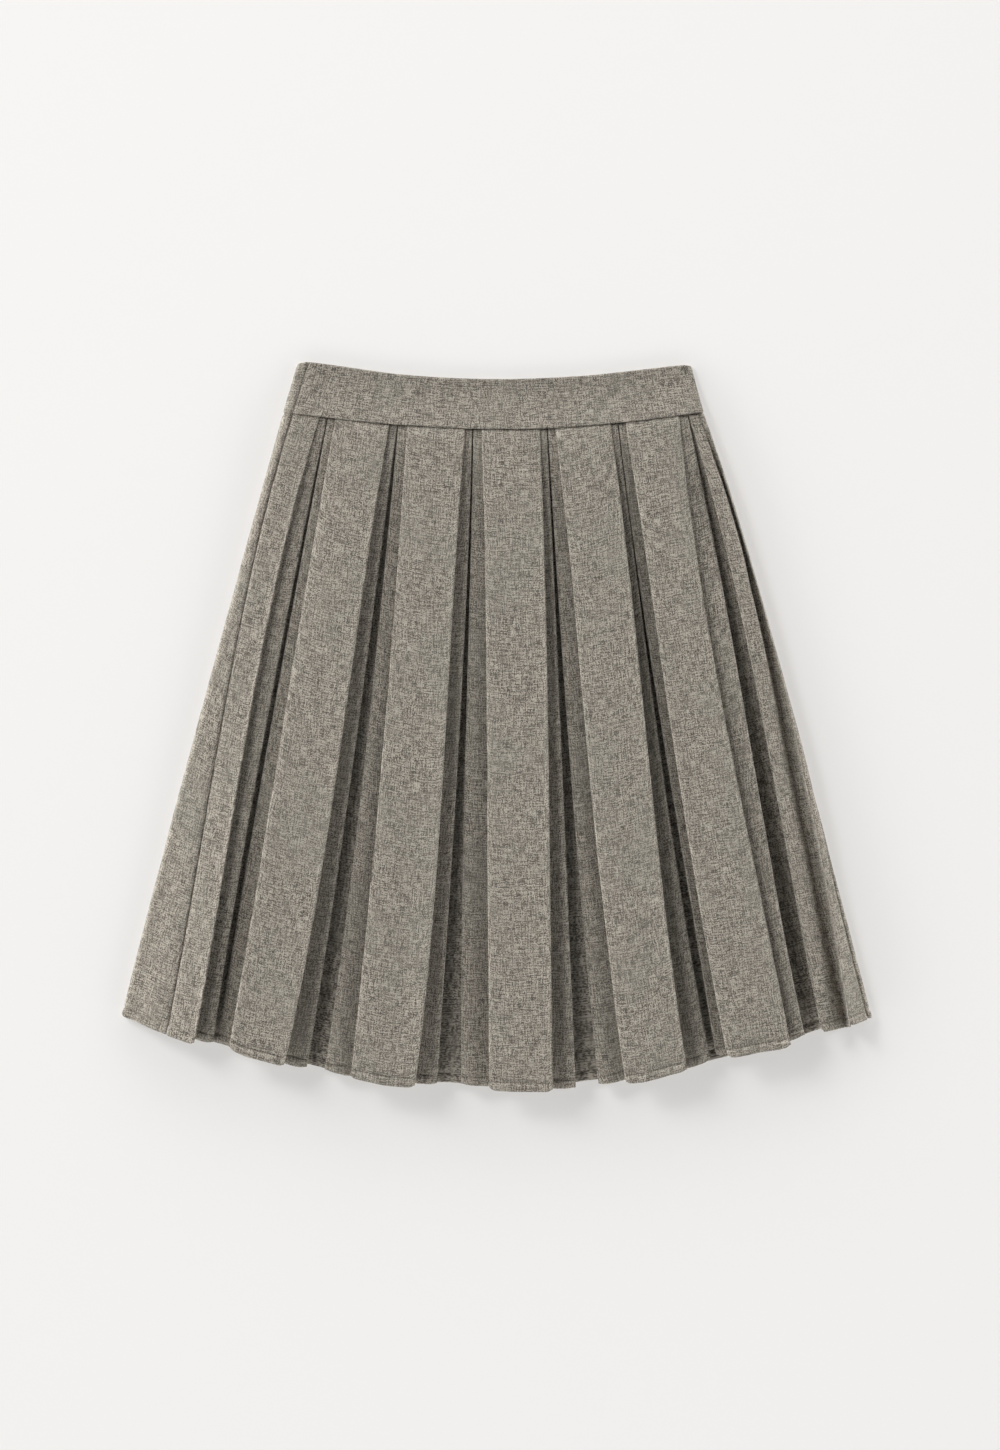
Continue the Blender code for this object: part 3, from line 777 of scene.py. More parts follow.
def front_path(share):
    """Knots of the front panel's section, from the left side seam to the right one."""
    tube = skirt_tube(share)
    raised = UNDERLAY_RAISE * share
    depth_of = front_depth(tube, share)
    pitch = front_pitch(share)

    seam = fold_point(LEFT_SEAM, share)
    start = face_knot(left_seam_along(tube, share) + SEAM_HALF, seam.y, "A")
    middle = Point(seam.x + RETURN_GAP / 2, seam.y + raised)
    fold = front_fold("A", "right", share)
    strip = front_fold("A", "right_strip", share)
    pleat = pleat_side(tube.on_top, 1, fold, strip, middle, depth_of, pitch, "A")
    knots = [start]
    knots += seam_roll(start, pleat[0], "A", 1.0)
    knots += pleat

    for box in FRONT_BOXES:
        folds = [front_fold(box, edge, share) for edge in ("left_strip", "left", "right", "right_strip")]
        centre = Point((folds[1].x + folds[2].x) / 2, (folds[1].y + folds[2].y) / 2)
        middle = Point(centre.x, centre.y + raised)
        part = box_knots(tube.on_top, folds, middle, centre, depth_of, pitch, box)
        knots += level_stretch(tube, knots[-1], part[0])
        knots += part

    last = last_box_knots(tube, share, raised)
    knots += level_stretch(tube, knots[-1], last[0])
    knots += last
    return tube, knots


def level_stretch(tube, start, end):
    """Knots of an underlay, which runs straight from fold to fold under a top that slopes."""
    start_z = tube.height(start.along) - start.depth
    end_z = tube.height(end.along) - end.depth
    knots = []
    for step, knot in enumerate(stretch(start, end, UNDERLAY_STEPS, UNDERLAY), 1):
        z = mix(start_z, end_z, step / UNDERLAY_STEPS)
        knots.append(knot._replace(depth=tube.height(knot.along) - z))
    return knots


def seam_roll(start, end, box="", side=0.0):
    """Knots from a side seam to a fold, closer together at both ends."""
    reach = abs(end.along - start.along)
    places = [roll / reach for roll in SEAM_ROLL_PLACES]
    rest = 1.0 - places[-1]
    places += [1.0 - rest * place for place in reversed(FACE_PLACES)]
    return [blended(start, end, place, FACE, side * place, box) for place in places]


def last_box_knots(tube, share, raised):
    """Knots of the half box at the right, whose fold stands open as a ridge beside a valley."""
    strip = front_fold("G", "left_strip", share)
    valley = front_fold("G", "valley", share)
    ridge = front_fold("G", "left", share)
    pitch = front_pitch(share)
    underlay = front_underlay(share)
    opened = smooth_step(share / LAST_OPENED_SHARE)
    strip_z = underlay + 2 * pitch + between_ends(LAST_STRIP_LIFT, share) * opened
    floor_z = mix(underlay + pitch, VALLEY_Z, opened)
    dipped = smooth_step((share - VALLEY_START) / VALLEY_RUN)
    inner_x = valley.x - between_ends(VALLEY_REACH, share)
    strip_x = strip.x + WALL / 2

    def knot_at(x, z, y, layer):
        return Knot(*tube.spot(x, z), y, layer, 0.0, "")

    def depth_at(x, z):
        return tube.height(x) - z

    inner_y = valley.y + raised
    inner_depth = depth_at(inner_x, underlay + pitch)
    low = round_fold(tube.on_top, 1, inner_x, inner_y, inner_depth, LOWER_RETURN, pitch)
    low.reverse()
    fold = round_fold(tube.on_top, -1, strip_x, strip.y, depth_at(strip_x, strip_z), STRIP, pitch)
    fold.reverse()
    knots = low
    knots += stretch(low[-1], fold[0], RETURN_STEPS, LOWER_RETURN)
    knots += fold
    shape = [fold[-1]]
    for row in LAST_STRIP_SHAPE:
        x = mix(strip_x, valley.x, mix(row.place, row.low_place, dipped))
        z = mix(strip_z, floor_z, mix(row.drop, row.low_drop, dipped))
        shape.append(knot_at(x, z, mix(strip.y, valley.y, row.place), STRIP))
    foot_x = valley.x + VALLEY_FOOT
    floor_x = mix(foot_x, ridge.x, VALLEY_FLOOR_PLACE)
    shape.append(knot_at(foot_x, floor_z, valley.y, UPPER_RETURN))
    shape.append(knot_at(floor_x, floor_z + VALLEY_FLOOR_RISE, valley.y, UPPER_RETURN))
    crest_lift = between_ends(LAST_CREST_LIFT, share) * opened
    crest = knot_at(ridge.x, tube.top(ridge.x) - WALL / 2 + crest_lift, ridge.y, FACE)
    crest = crest._replace(box="G")
    shape.append(crest)
    knots += rounded_line(shape, STRIP)[1:]
    seam_knot = face_knot(right_seam_along(tube, share) - SEAM_HALF, right_seam_y(share), "G")
    power = between_ends(CREST_FALL, dipped)
    for knot in reversed(seam_roll(seam_knot, crest, "G", -1.0)):
        depth = mix(seam_knot.depth, crest.depth, abs(knot.across) ** power)
        knots.append(knot._replace(depth=depth))
    knots.append(seam_knot)
    return knots


def rounded_line(corners, layer):
    """Smooth line of knots through a few corners."""
    padded = [corners[0], *corners, corners[-1]]
    knots = [corners[0]]
    for index in range(1, len(padded) - 2):
        before, start, end, after = padded[index - 1:index + 3]
        for step in range(1, ROUNDED_STEPS + 1):
            t = step / ROUNDED_STEPS
            values = [
                0.5 * (2 * q + (r - p) * t + (2 * p - 5 * q + 4 * r - s) * t * t
                       + (3 * q - p - 3 * r + s) * t ** 3)
                for p, q, r, s in zip(before[:3], start[:3], end[:3], after[:3])
            ]
            knots.append(Knot(*values, layer, 0.0, ""))
    knots[-1] = corners[-1]
    return knots


def back_path(share):
    """Knots of the back panel's section, from the right side seam under to the left one."""
    tube = skirt_tube(share)
    lay = tube.underneath

    start = face_knot(right_seam_along(tube, share) + SEAM_HALF, right_seam_y(share))
    fold = back_point(BACK_HALF_RIGHT, share)
    strip = back_point(moved(BACK_HALF_RIGHT, BACK_STRIP, -1), share)
    middle = Point(tube.right_bend - BACK_RETURN_REACH + RETURN_GAP / 2, fold.y)
    pleat = pleat_side(lay, -1, fold, strip, middle, back_depth, LAYER_PITCH, "")
    knots = [start]
    knots += seam_roll(start, pleat[0])
    knots += pleat

    for index in reversed(range(BACK_BOX_COUNT)):
        row = back_box_centre(index)
        left = moved(row, BACK_FACE, -0.5)
        right = moved(row, BACK_FACE, 0.5)
        rows = (moved(right, BACK_STRIP, 1), right, left, moved(left, BACK_STRIP, -1))
        folds = [back_point(entry, share) for entry in rows]
        centre = back_point(row, share)
        part = box_knots(lay, folds, centre, centre, back_depth, LAYER_PITCH, f"back{index}")
        knots += stretch(knots[-1], part[0], UNDERLAY_STEPS, UNDERLAY)
        knots += part

    fold = back_point(BACK_HALF_LEFT, share)
    strip = back_point(moved(BACK_HALF_LEFT, BACK_STRIP, 1), share)
    middle = Point(tube.left_bend + BACK_RETURN_REACH - RETURN_GAP / 2, fold.y)
    rising = pleat_side(lay, 1, fold, strip, middle, back_depth, LAYER_PITCH, "")
    rising.reverse()
    knots += stretch(knots[-1], rising[0], UNDERLAY_STEPS, UNDERLAY)
    knots += rising

    seam = fold_point(LEFT_SEAM, share)
    side_y = fold_point(LEFT_SIDE, share).y
    bottom = face_knot(tube.under_end, mix(fold.y, side_y, TURN_UP_SHARE))
    rolled = face_knot(tube.under_end + tube.left_radius * math.pi / 2, side_y)
    end = face_knot(left_seam_along(tube, share) + tube.length - SEAM_HALF, seam.y)
    knots += stretch(knots[-1], bottom, TURN_UP_STEPS, FACE)
    knots.append(bottom)
    knots += stretch(bottom, rolled, SIDE_STEPS, FACE)
    knots.append(rolled)
    roll = seam_roll(end, rolled)
    roll.reverse()
    knots += roll
    knots.append(end)
    return tube, knots


def ripples(rows, x, turn=0.0):
    """Height at x of a few short ripples, each shifted by its own share of a turn."""
    return sum(row.height * math.sin(x / row.across + row.phase + row.shift * turn) for row in rows)


def face_lift(knot, share, grown):
    """How far a knot of a box's face rises: the face's bend, trough, rims and dent."""
    bend = next(row for row in FACE_BENDS if row.box == knot.box)
    edge = bend.right if knot.across > 0 else bend.left
    lift = edge * abs(knot.across) ** BEND_POWER * grown
    length = smooth_step((share - bend.start) / TROUGH_FADE)
    length *= smooth_step((bend.end - share) / TROUGH_FADE)
    lift -= bend.depth * length * hump((knot.across - bend.trough) * HALF_FACE, bend.width)
    rim = bend.rim * abs(knot.across) ** RIM_POWER * smooth_step((share - RIM_START) / RIM_FADE)
    lift += math.copysign(rim, knot.across)
    if knot.box in FRONT_BOXES:
        dent = hump((knot.across - FACE_DENT.across) * HALF_FACE, FACE_DENT.width)
        lift -= FACE_DENT.depth * dent * hump(share - FACE_DENT.share, FACE_DENT.fade)
    return lift


def cloth_lift(knot, x, share, seam_distance):
    """How far a knot rises out of its plain place: faces, waves, puckers and sewn dents."""
    grown = smooth_step(share / GROWN_SHARE)
    lift = 0.0
    for wave in WAVES:
        turn = 2 * math.pi * (x / wave.across + knot.y / wave.down) + wave.phase
        strength = wave.height * mix(WAVE_AT_WAIST, 1.0, grown)
        lift += strength * math.sin(turn + knot.layer * WAVE_LAYER_TURN)
    if knot.layer == FACE and knot.box:
        lift += face_lift(knot, share, grown)
    if seam_distance < SEAM_ROLL_REACH:
        lift -= SEAM_ROLL * hump(seam_distance, SEAM_ROLL_WIDTH)
    down = max(share, 0.0)
    lift -= sum(dent.depth * hump(down - dent.share, dent.width) for dent in SEWN_DENTS)
    if knot.layer == FACE:
        below = down * CLOTH_LENGTH - WAIST_PUCKER_PLACE
        lift += ripples(WAIST_PUCKERS, x) * hump(below, WAIST_PUCKER_WIDTH)
    past_stitches = share - STITCH_SHARE
    lift += HEM_FOLD_RISE * smooth_step(past_stitches / HEM_FOLD_RUN)
    lift += ripples(STITCH_PUCKERS, x, knot.layer) * hump(past_stitches, STITCH_PUCKER_WIDTH)
    if knot.layer in HIDDEN_LAYERS or share < 0:
        lift = min(lift, HIDDEN_LIFT)
    return min(max(lift, LIFT_LIMITS[0]), LIFT_LIMITS[1])


def hem_shift(knot, x, share):
    """How far the hem strays down the cloth from its plain line."""
    near_hem = smooth_step((share - HEM_START) / (1.0 - HEM_START))
    at_edge = smooth_step((share - HEM_EDGE_START) / (1.0 - HEM_EDGE_START))
    sag = HEM_SAG * (1.0 - knot.across ** 2) if knot.layer == FACE and knot.box else 0.0
    power = FACE_CORNER_POWER if knot.layer < STRIP else STRIP_CORNER_POWER
    corner = CORNER_RAISE * abs(knot.across) ** power
    return (ripples(HEM_WANDER, x, knot.layer) - sag) * near_hem + corner * at_edge


def offset_sides(line, half):
    """The two sides of a bent strip: each point moved out along its mitre by half a wall."""
    run = np.diff(line, axis=0)
    run /= np.linalg.norm(run, axis=1)[:, None]
    normals = np.stack([-run[:, 1], run[:, 0]], axis=1)
    first = np.vstack([normals[:1], normals])
    second = np.vstack([normals, normals[-1:]])
    mean = (first + second) / 2
    square = np.maximum((mean * mean).sum(axis=1), MITRE_LIMIT)
    move = half * mean / square[:, None]
    return line + move, line - move


def wall_sides(line, heights, thickness):
    """Outer and inner points of one row of a wall."""
    sides = offset_sides(np.array(line), thickness / 2)
    return [np.stack([side[:, 0], heights, side[:, 1]], axis=1) for side in sides]


def panel_rows(path, shares, thickness):
    """Outer and inner points of a panel, row by row, and its last row's knots."""
    rows = []
    for share in shares:
        tube, knots = path(share)
        ends = (knots[0].along, knots[-1].along)
        tuck = TUCK_DEPTH if share < 0 else 0.0
        line = []
        heights = []
        for knot in knots:
            from_seam = math.inf
            if knot.layer == FACE:
                from_seam = min(abs(knot.along - end) for end in ends)
            plain_x, _ = tube.place(knot.along, knot.depth)
            lift = tube.kept_up(knot.along, cloth_lift(knot, plain_x, share, from_seam))
            line.append(tube.place(knot.along, knot.depth - lift + tuck))
            y = seam_y(plain_x) if share == 0 else knot.y
            heights.append(y + hem_shift(knot, plain_x, share))
        rows.append(wall_sides(line, heights, thickness))
    outer, inner = np.array(rows).swapaxes(0, 1)
    return outer, inner, knots


def cloth_uv(outer, facts):
    """Distances across and down the cloth for each point, true on the faces and strips."""
    rows, count, _ = outer.shape
    steps = np.linalg.norm(np.diff(outer, axis=1), axis=2)
    lengths = np.concatenate([np.zeros((rows, 1)), np.cumsum(steps, axis=1)], axis=1)
    layers = np.array([knot.layer for knot in facts])
    anchors = anchor_points(layers)
    middle = rows // 2
    across = np.zeros_like(lengths)
    for start, end, anchor in anchors:
        span = slice(start, end)
        across[:, span] = lengths[middle, anchor] + lengths[:, span] - lengths[:, anchor:anchor + 1]
    for (_, end, _), (start, _, _) in zip(anchors, anchors[1:]):
        between = np.arange(end, start)
        share = (between - (end - 1)) / (start - (end - 1))
        left = across[:, end - 1:end]
        right = across[:, start:start + 1]
        across[:, end:start] = left + (right - left) * share[None, :]
    drops = np.linalg.norm(np.diff(outer, axis=0), axis=2)
    down = np.concatenate([np.cumsum(drops[::-1], axis=0)[::-1], np.zeros((1, count))], axis=0)
    return across * MM, down * MM


def anchor_points(layers):
    """Spans of points between underlays, each with the middle point of its face."""
    spans = []
    start = 0
    for index in range(1, len(layers) + 1):
        ended = index == len(layers) or (
            layers[index] == UNDERLAY and layers[index - 1] != UNDERLAY
        )
        if ended and start is not None:
            faces = [i for i in range(start, index) if layers[i] == FACE]
            spans.append((start, index, faces[len(faces) // 2]))
            start = None
        if start is None and index < len(layers) and layers[index] != UNDERLAY:
            start = index
    return spans


def wall_mesh(name, outer, inner, uv_across, uv_down):
    """Closed cloth wall from its outer and inner points, with the cloth's own coordinates."""
    rows, count, _ = outer.shape
    ring = np.concatenate([outer, inner[:, ::-1]], axis=1)
    size = ring.shape[1]
    vertices = ring.reshape(-1, 3) * MM
    index = np.arange(rows * size).reshape(rows, size)
    following = np.roll(index, -1, axis=1)
    quads = np.stack([index[:-1], following[:-1], following[1:], index[1:]], axis=-1).reshape(-1, 4)
    caps = []
    for row in (0, rows - 1):
        near = index[row, :count]
        far = index[row, count:][::-1]
        cap = np.stack([near[:-1], near[1:], far[1:], far[:-1]], axis=-1)
        caps.append(cap if row else cap[:, ::-1])
    faces = np.concatenate([quads, *caps])
    mesh = bpy.data.meshes.new(name)
    mesh.from_pydata(vertices.tolist(), [], faces.tolist())
    ring_across = np.concatenate([uv_across, uv_across[:, ::-1]], axis=1).reshape(-1)
    ring_down = np.concatenate([uv_down, uv_down[:, ::-1]], axis=1).reshape(-1)
    layer = mesh.uv_layers.new(name="cloth")
    corners = np.empty(len(mesh.loops), dtype=np.int32)
    mesh.loops.foreach_get("vertex_index", corners)
    values = np.stack([ring_across[corners], ring_down[corners]], axis=1).astype(np.float32)
    layer.data.foreach_set("uv", values.reshape(-1))
    mesh.validate()
    if faces_inward(vertices, faces):
        mesh.flip_normals()
    mesh.shade_smooth()
    return mesh


def faces_inward(points, quads):
    """Whether the quads of a closed wall face into it."""
    a, b, c, d = (points[quads[:, corner]] for corner in range(4))
    return (a * (np.cross(b, c) + np.cross(c, d))).sum() < 0


def add_object(name, mesh, material):
    """Object in the scene with one material."""
    mesh.materials.append(material)
    obj = bpy.data.objects.new(name, mesh)
    bpy.context.scene.collection.objects.link(obj)
    return obj


def panel_shares():
    """Shares at which the visible panels are cut into rows."""
    middle = np.linspace(*MIDDLE_ROW_ENDS, MIDDLE_ROWS)
    return [*UPPER_ROWS, *middle.tolist(), *LOWER_ROWS]


def build_panel(name, path, material, thickness):
    """One pleated panel as a thin closed wall."""
    outer, inner, facts = panel_rows(path, panel_shares(), thickness)
    across, down = cloth_uv(outer, facts)
    mesh = wall_mesh(name, outer, inner, across, down)
    return add_object(name, mesh, material)


def link_value(tree, node, socket, value):
    """Set a socket to a value, or join it to another node's output."""
    target = node.inputs[socket]
    if isinstance(value, bpy.types.NodeSocket):
        tree.links.new(value, target)
    else:
        target.default_value = value


def add_node(tree, kind, **inputs):
    """New node with its inputs set by name, spaces as underscores."""
    node = tree.nodes.new(kind)
    for key, value in inputs.items():
        link_value(tree, node, key.replace("_", " "), value)
    return node


def noise(tree, vector, scale, detail, roughness):
    """Noise texture's value over a coordinate."""
    node = add_node(tree, "ShaderNodeTexNoise", Vector=vector, Scale=scale, Detail=detail,
                    Roughness=roughness)
    return node.outputs["Fac"]


def scaled(tree, vector, x, y):
    """A coordinate stretched by two factors."""
    node = add_node(tree, "ShaderNodeMapping", Vector=vector, Scale=(x, y, 1.0))
    return node.outputs["Vector"]


def math_node(tree, operation, first, second):
    """Result of one sum or product."""
    node = tree.nodes.new("ShaderNodeMath")
    node.operation = operation
    link_value(tree, node, 0, first)
    link_value(tree, node, 1, second)
    return node.outputs[0]


def weighted(tree, first, share, second):
    """Sum of two values, the first with its share and the second with the rest."""
    return math_node(tree, "ADD", math_node(tree, "MULTIPLY", first, share),
                     math_node(tree, "MULTIPLY", second, 1.0 - share))


def spread(tree, value, row, scale=1.0):
    """A value spread from the range in a row to the strengths there."""
    node = add_node(tree, "ShaderNodeMapRange", Value=value, From_Min=row.low, From_Max=row.high,
                    To_Min=row.start * scale, To_Max=row.end * scale)
    return node.outputs["Result"]


def mix_colour(tree, factor, first, second):
    """Blend of two colours."""
    node = tree.nodes.new("ShaderNodeMix")
    node.data_type = "RGBA"
    link_value(tree, node, 0, factor)
    link_value(tree, node, MIX_FIRST, first)
    link_value(tree, node, MIX_SECOND, second)
    return node.outputs[MIX_RESULT]


def darkened(colour, share):
    """A share of a colour, as solid as it was."""
    return (*(channel * share for channel in colour[:3]), colour[3])


def new_material(name):
    """Material with its node tree and its shader."""
    material = bpy.data.materials.new(name)
    material.use_nodes = True
    tree = material.node_tree
    return material, tree, tree.nodes["Principled BSDF"]


def wool_material(name, colours, shade):
    """Melange suiting: pepper-and-salt fibres, uneven warp and weft, mottling and a soft nap."""
    material, tree, shader = new_material(name)
    coordinate = add_node(tree, "ShaderNodeUVMap")
    coordinate.uv_map = "cloth"
    cloth = scaled(tree, coordinate.outputs["UV"], 1 / MM, 1 / MM)
    fibres = {
        row.name: noise(tree, scaled(tree, cloth, row.across, row.down), 1.0, row.detail, row.roughness)
        for row in FIBRES
    }

    threads = weighted(tree, fibres["warp"], 0.5, fibres["weft"])
    woven = weighted(tree, fibres["grain"], GRAIN_SHARE, threads)
    base = mix_colour(tree, spread(tree, woven, SPECKLE), colours["dark"], colours["light"])
    slubs = math_node(tree, "MAXIMUM", fibres["slub"], fibres["warp_slub"])
    streaked = mix_colour(tree, spread(tree, slubs, SLUBS), base, colours["slub"])
    warm = mix_colour(tree, spread(tree, fibres["patch"], WARMTH), streaked, colours["warm"])
    cool = mix_colour(tree, spread(tree, fibres["tone"], COOLNESS), warm, colours["cool"])
    # The value is scaled by the shade, so a shade below 1 darkens the whole cloth as painted shade
    cloudy = add_node(tree, "ShaderNodeHueSaturation", Color=cool,
                      Value=spread(tree, fibres["cloud"], CLOUDS, shade))
    tree.links.new(cloudy.outputs["Color"], shader.inputs["Base Color"])

    tree.links.new(spread(tree, fibres["grain"], MATTNESS), shader.inputs["Roughness"])
    shader.inputs["Sheen Weight"].default_value = NAP_SHEEN
    shader.inputs["Sheen Roughness"].default_value = NAP_ROUGHNESS
    shader.inputs["Specular IOR Level"].default_value = WOOL_SPECULAR

    relief = add_node(tree, "ShaderNodeBump", Height=woven, Strength=WEAVE_RELIEF,
                      Distance=WEAVE_HEIGHT)
    tree.links.new(relief.outputs["Normal"], shader.inputs["Normal"])
    return material


def thread_material(colour):
    """Matt sewing thread with a slight twist, the shade in its grooves painted as darker bands."""
    material, tree, shader = new_material("sewing_thread")
    coordinate = tree.nodes.new("ShaderNodeTexCoord")
    # Darker bands along the thread: painted shade of the grooves in its twist
    twist = add_node(tree, "ShaderNodeTexWave", Vector=coordinate.outputs["Object"],
                     Scale=THREAD_TWIST, Distortion=1.0)
    base = mix_colour(tree, twist.outputs["Fac"], darkened(colour, THREAD_PAINTED_SHADE), colour)
    tree.links.new(base, shader.inputs["Base Color"])
    shader.inputs["Roughness"].default_value = THREAD_ROUGHNESS
    return material


def ground_material(colour, glow):
    """Plain pale table top, lit a little from below so that shadows on it stay faint."""
    material, tree, shader = new_material("pale_ground")
    coordinate = tree.nodes.new("ShaderNodeTexCoord")
    cloud = noise(tree, coordinate.outputs["Object"], *GROUND_NOISE)
    base = mix_colour(tree, cloud, darkened(colour, GROUND_SHADE), colour)
    tree.links.new(base, shader.inputs["Base Color"])
    shader.inputs["Roughness"].default_value = 1.0
    shader.inputs["Specular IOR Level"].default_value = 0.0
    shader.inputs["Emission Color"].default_value = glow
    shader.inputs["Emission Strength"].default_value = GROUND_GLOW
    return material


def shared_wool(shade_name, shade):
    """The wool material of that name, made on first use."""
    found = bpy.data.materials.get(shade_name)
    if found:
        return found
    colours = bpy.context.scene.skirt_colours
    table = {key: tuple(getattr(colours, key)) for key in ("dark", "light", "slub", "warm", "cool")}
    return wool_material(shade_name, table, shade)


def band_ends(share):
    """The waistband's left and right ends a share of the way up."""
    return mix(LEFT_SIDE.waist, TOP_LINE[0].x, share), mix(RIGHT_SIDE.waist, TOP_LINE[-1].x, share)


def band_tube(share):
    """The waistband's tube a share of the way from the waist seam to its top edge."""
    edge = mix(WAIST_HEIGHT + BAND_STEP, BAND_TOP_HEIGHT, math.sin(share * math.pi / 2))
    return Tube(*band_ends(share), edge, edge, edge, ROLL_AT_WAIST, ROLL_AT_WAIST)


def band_y(x, share):
    """Height of a point of the waistband, from its x and its share of the way up."""
    left, right = band_ends(share)
    place = min(max((x - left) / (right - left), 0.0), 1.0)
    low = seam_y(mix(LEFT_SIDE.waist, RIGHT_SIDE.waist, place))
    high = curve_through(TOP_LINE, mix(TOP_LINE[0].x, TOP_LINE[-1].x, place))
    return mix(low, high, share)


def band_lift(x, share, dents, end_distance):
    """How far the band's outer side rises out of its plain place."""
    edges = hump(share, BAND_SEAM_FADE) + BAND_TOP_PUCKER * hump(share - 1.0, BAND_TOP_FADE)
    lift = ripples(BAND_WAVES, x, share) + ripples(BAND_PUCKERS, x) * edges
    for dent in dents:
        lift -= dent.depth * hump(x - dent.x, dent.width) * hump(share - dent.share, dent.tall)
    return lift - SEAM_ROLL * hump(end_distance, SEAM_ROLL_WIDTH)


def band_places(tube, share, is_front):
    """Distances along the band's tube at which half of the band has its points."""
    left_seam = tube.on_top(mix(LEFT_SEAM.waist, LEFT_BAND_SEAM_TOP_X, share))
    right_seam = tube.right_quarter + RIGHT_SEAM_PAST_SIDE.waist
    first, last = left_seam + SEAM_HALF, right_seam - SEAM_HALF
    if not is_front:
        first, last = right_seam + SEAM_HALF, left_seam + tube.length - SEAM_HALF
    places = [first + roll for roll in BAND_END_ROLL]
    places += np.linspace(first + BAND_END_INSET, last - BAND_END_INSET, BAND_STEPS).tolist()
    places += [last - roll for roll in reversed(BAND_END_ROLL)]
    return places


def build_band(name, is_front, material):
    """Half of the waistband as a doubled wall with rounded edges."""
    dents = BAND_DENTS if is_front else ()
    rows = []
    for share in reversed(BAND_ROWS):
        tube = band_tube(share)
        places = band_places(tube, share, is_front)
        edge_distance = min(share, 1.0 - share) * BAND_DEPTH
        closeness = max(1.0 - edge_distance / BAND_EDGE_ROUND, 0.0)
        wall = BAND_WALL * math.sqrt(max(1.0 - closeness ** 2, BAND_EDGE_THINNEST))
        line = []
        heights = []
        for along in places:
            from_seam = min(along - places[0], places[-1] - along)
            plain_x, _ = tube.place(along, BAND_WALL / 2)
            lift = tube.kept_up(along, band_lift(plain_x, share, dents, from_seam))
            line.append(tube.place(along, BAND_WALL / 2 - lift))
            heights.append(band_y(plain_x, share))
        rows.append(wall_sides(line, heights, wall))
    outer, inner = np.array(rows).swapaxes(0, 1)
    height, count, _ = outer.shape
    steps = np.linalg.norm(np.diff(outer, axis=1), axis=2).mean(axis=0)
    across = np.tile(np.concatenate([[0.0], np.cumsum(steps)]), (height, 1)) * MM
    drops = np.linalg.norm(np.diff(outer, axis=0), axis=2).mean(axis=1)
    down = np.tile(np.concatenate([[0.0], np.cumsum(drops)])[:, None], (1, count)) * MM
    return add_object(name, wall_mesh(name, outer, inner, across, down), material)


def stitch_mesh(name, places, length, radius):
    """Joined capsules for a row of stitches, each a middle point and a direction."""
    vertices = []
    faces = []
    for middle, direction in places:
        base = len(vertices)
        axis = direction.normalized()
        side = axis.cross(Vector((0.0, 0.0, 1.0))).normalized()
        up = side.cross(axis)
        for ring in STITCH_RINGS:
            for corner in range(STITCH_SIDES):
                angle = 2 * math.pi * corner / STITCH_SIDES
                reach = radius * ring.width
                spot = middle + axis * (ring.along * length)
                spot = spot + side * (reach * math.cos(angle)) + up * (reach * math.sin(angle))
                vertices.append(spot)
        end = base + (len(STITCH_RINGS) - 1) * STITCH_SIDES
        for start in range(base, end, STITCH_SIDES):
            for corner in range(STITCH_SIDES):
                a = start + corner
                b = start + (corner + 1) % STITCH_SIDES
                faces.append((a, b, b + STITCH_SIDES, a + STITCH_SIDES))
        faces.append(tuple(base + corner for corner in reversed(range(STITCH_SIDES))))
        faces.append(tuple(end + corner for corner in range(STITCH_SIDES)))
    mesh = bpy.data.meshes.new(name)
    mesh.from_pydata(vertices, [], faces)
    mesh.shade_smooth()
    return mesh


def stitch_places(path, share, thickness):
    """Middles and directions of the stitches on the outer side of a panel's faces and strips."""
    (row,), _, facts = panel_rows(path, [share], thickness)
    places = []
    carried = 0.0
    for index in range(len(facts) - 1):
        if any(knot.layer not in SHOWN_LAYERS for knot in facts[index:index + 2]):
            continue
        start = Vector(row[index].tolist())
        end = Vector(row[index + 1].tolist())
        run = (end - start).length
        place = STITCH_PITCH - carried
        while place <= run:
            middle = start.lerp(end, place / run)
            places.append((middle * MM, end - start))
            place += STITCH_PITCH
        carried = run - (place - STITCH_PITCH)
    return places


class SkirtSizes(bpy.types.PropertyGroup):
    """Sizes of the cloth and its stitching."""

    cloth: bpy.props.FloatProperty(
        name="Cloth Thickness", description="Thickness of one layer of the skirt's cloth",
        default=0.55 * MM, unit="LENGTH")
    stitch_length: bpy.props.FloatProperty(
        name="Stitch Length", description="Length of the thread that shows in one stitch",
        default=2.0 * MM, unit="LENGTH")
    thread: bpy.props.FloatProperty(
        name="Thread Radius", description="Radius of the sewing thread",
        default=0.24 * MM, unit="LENGTH")


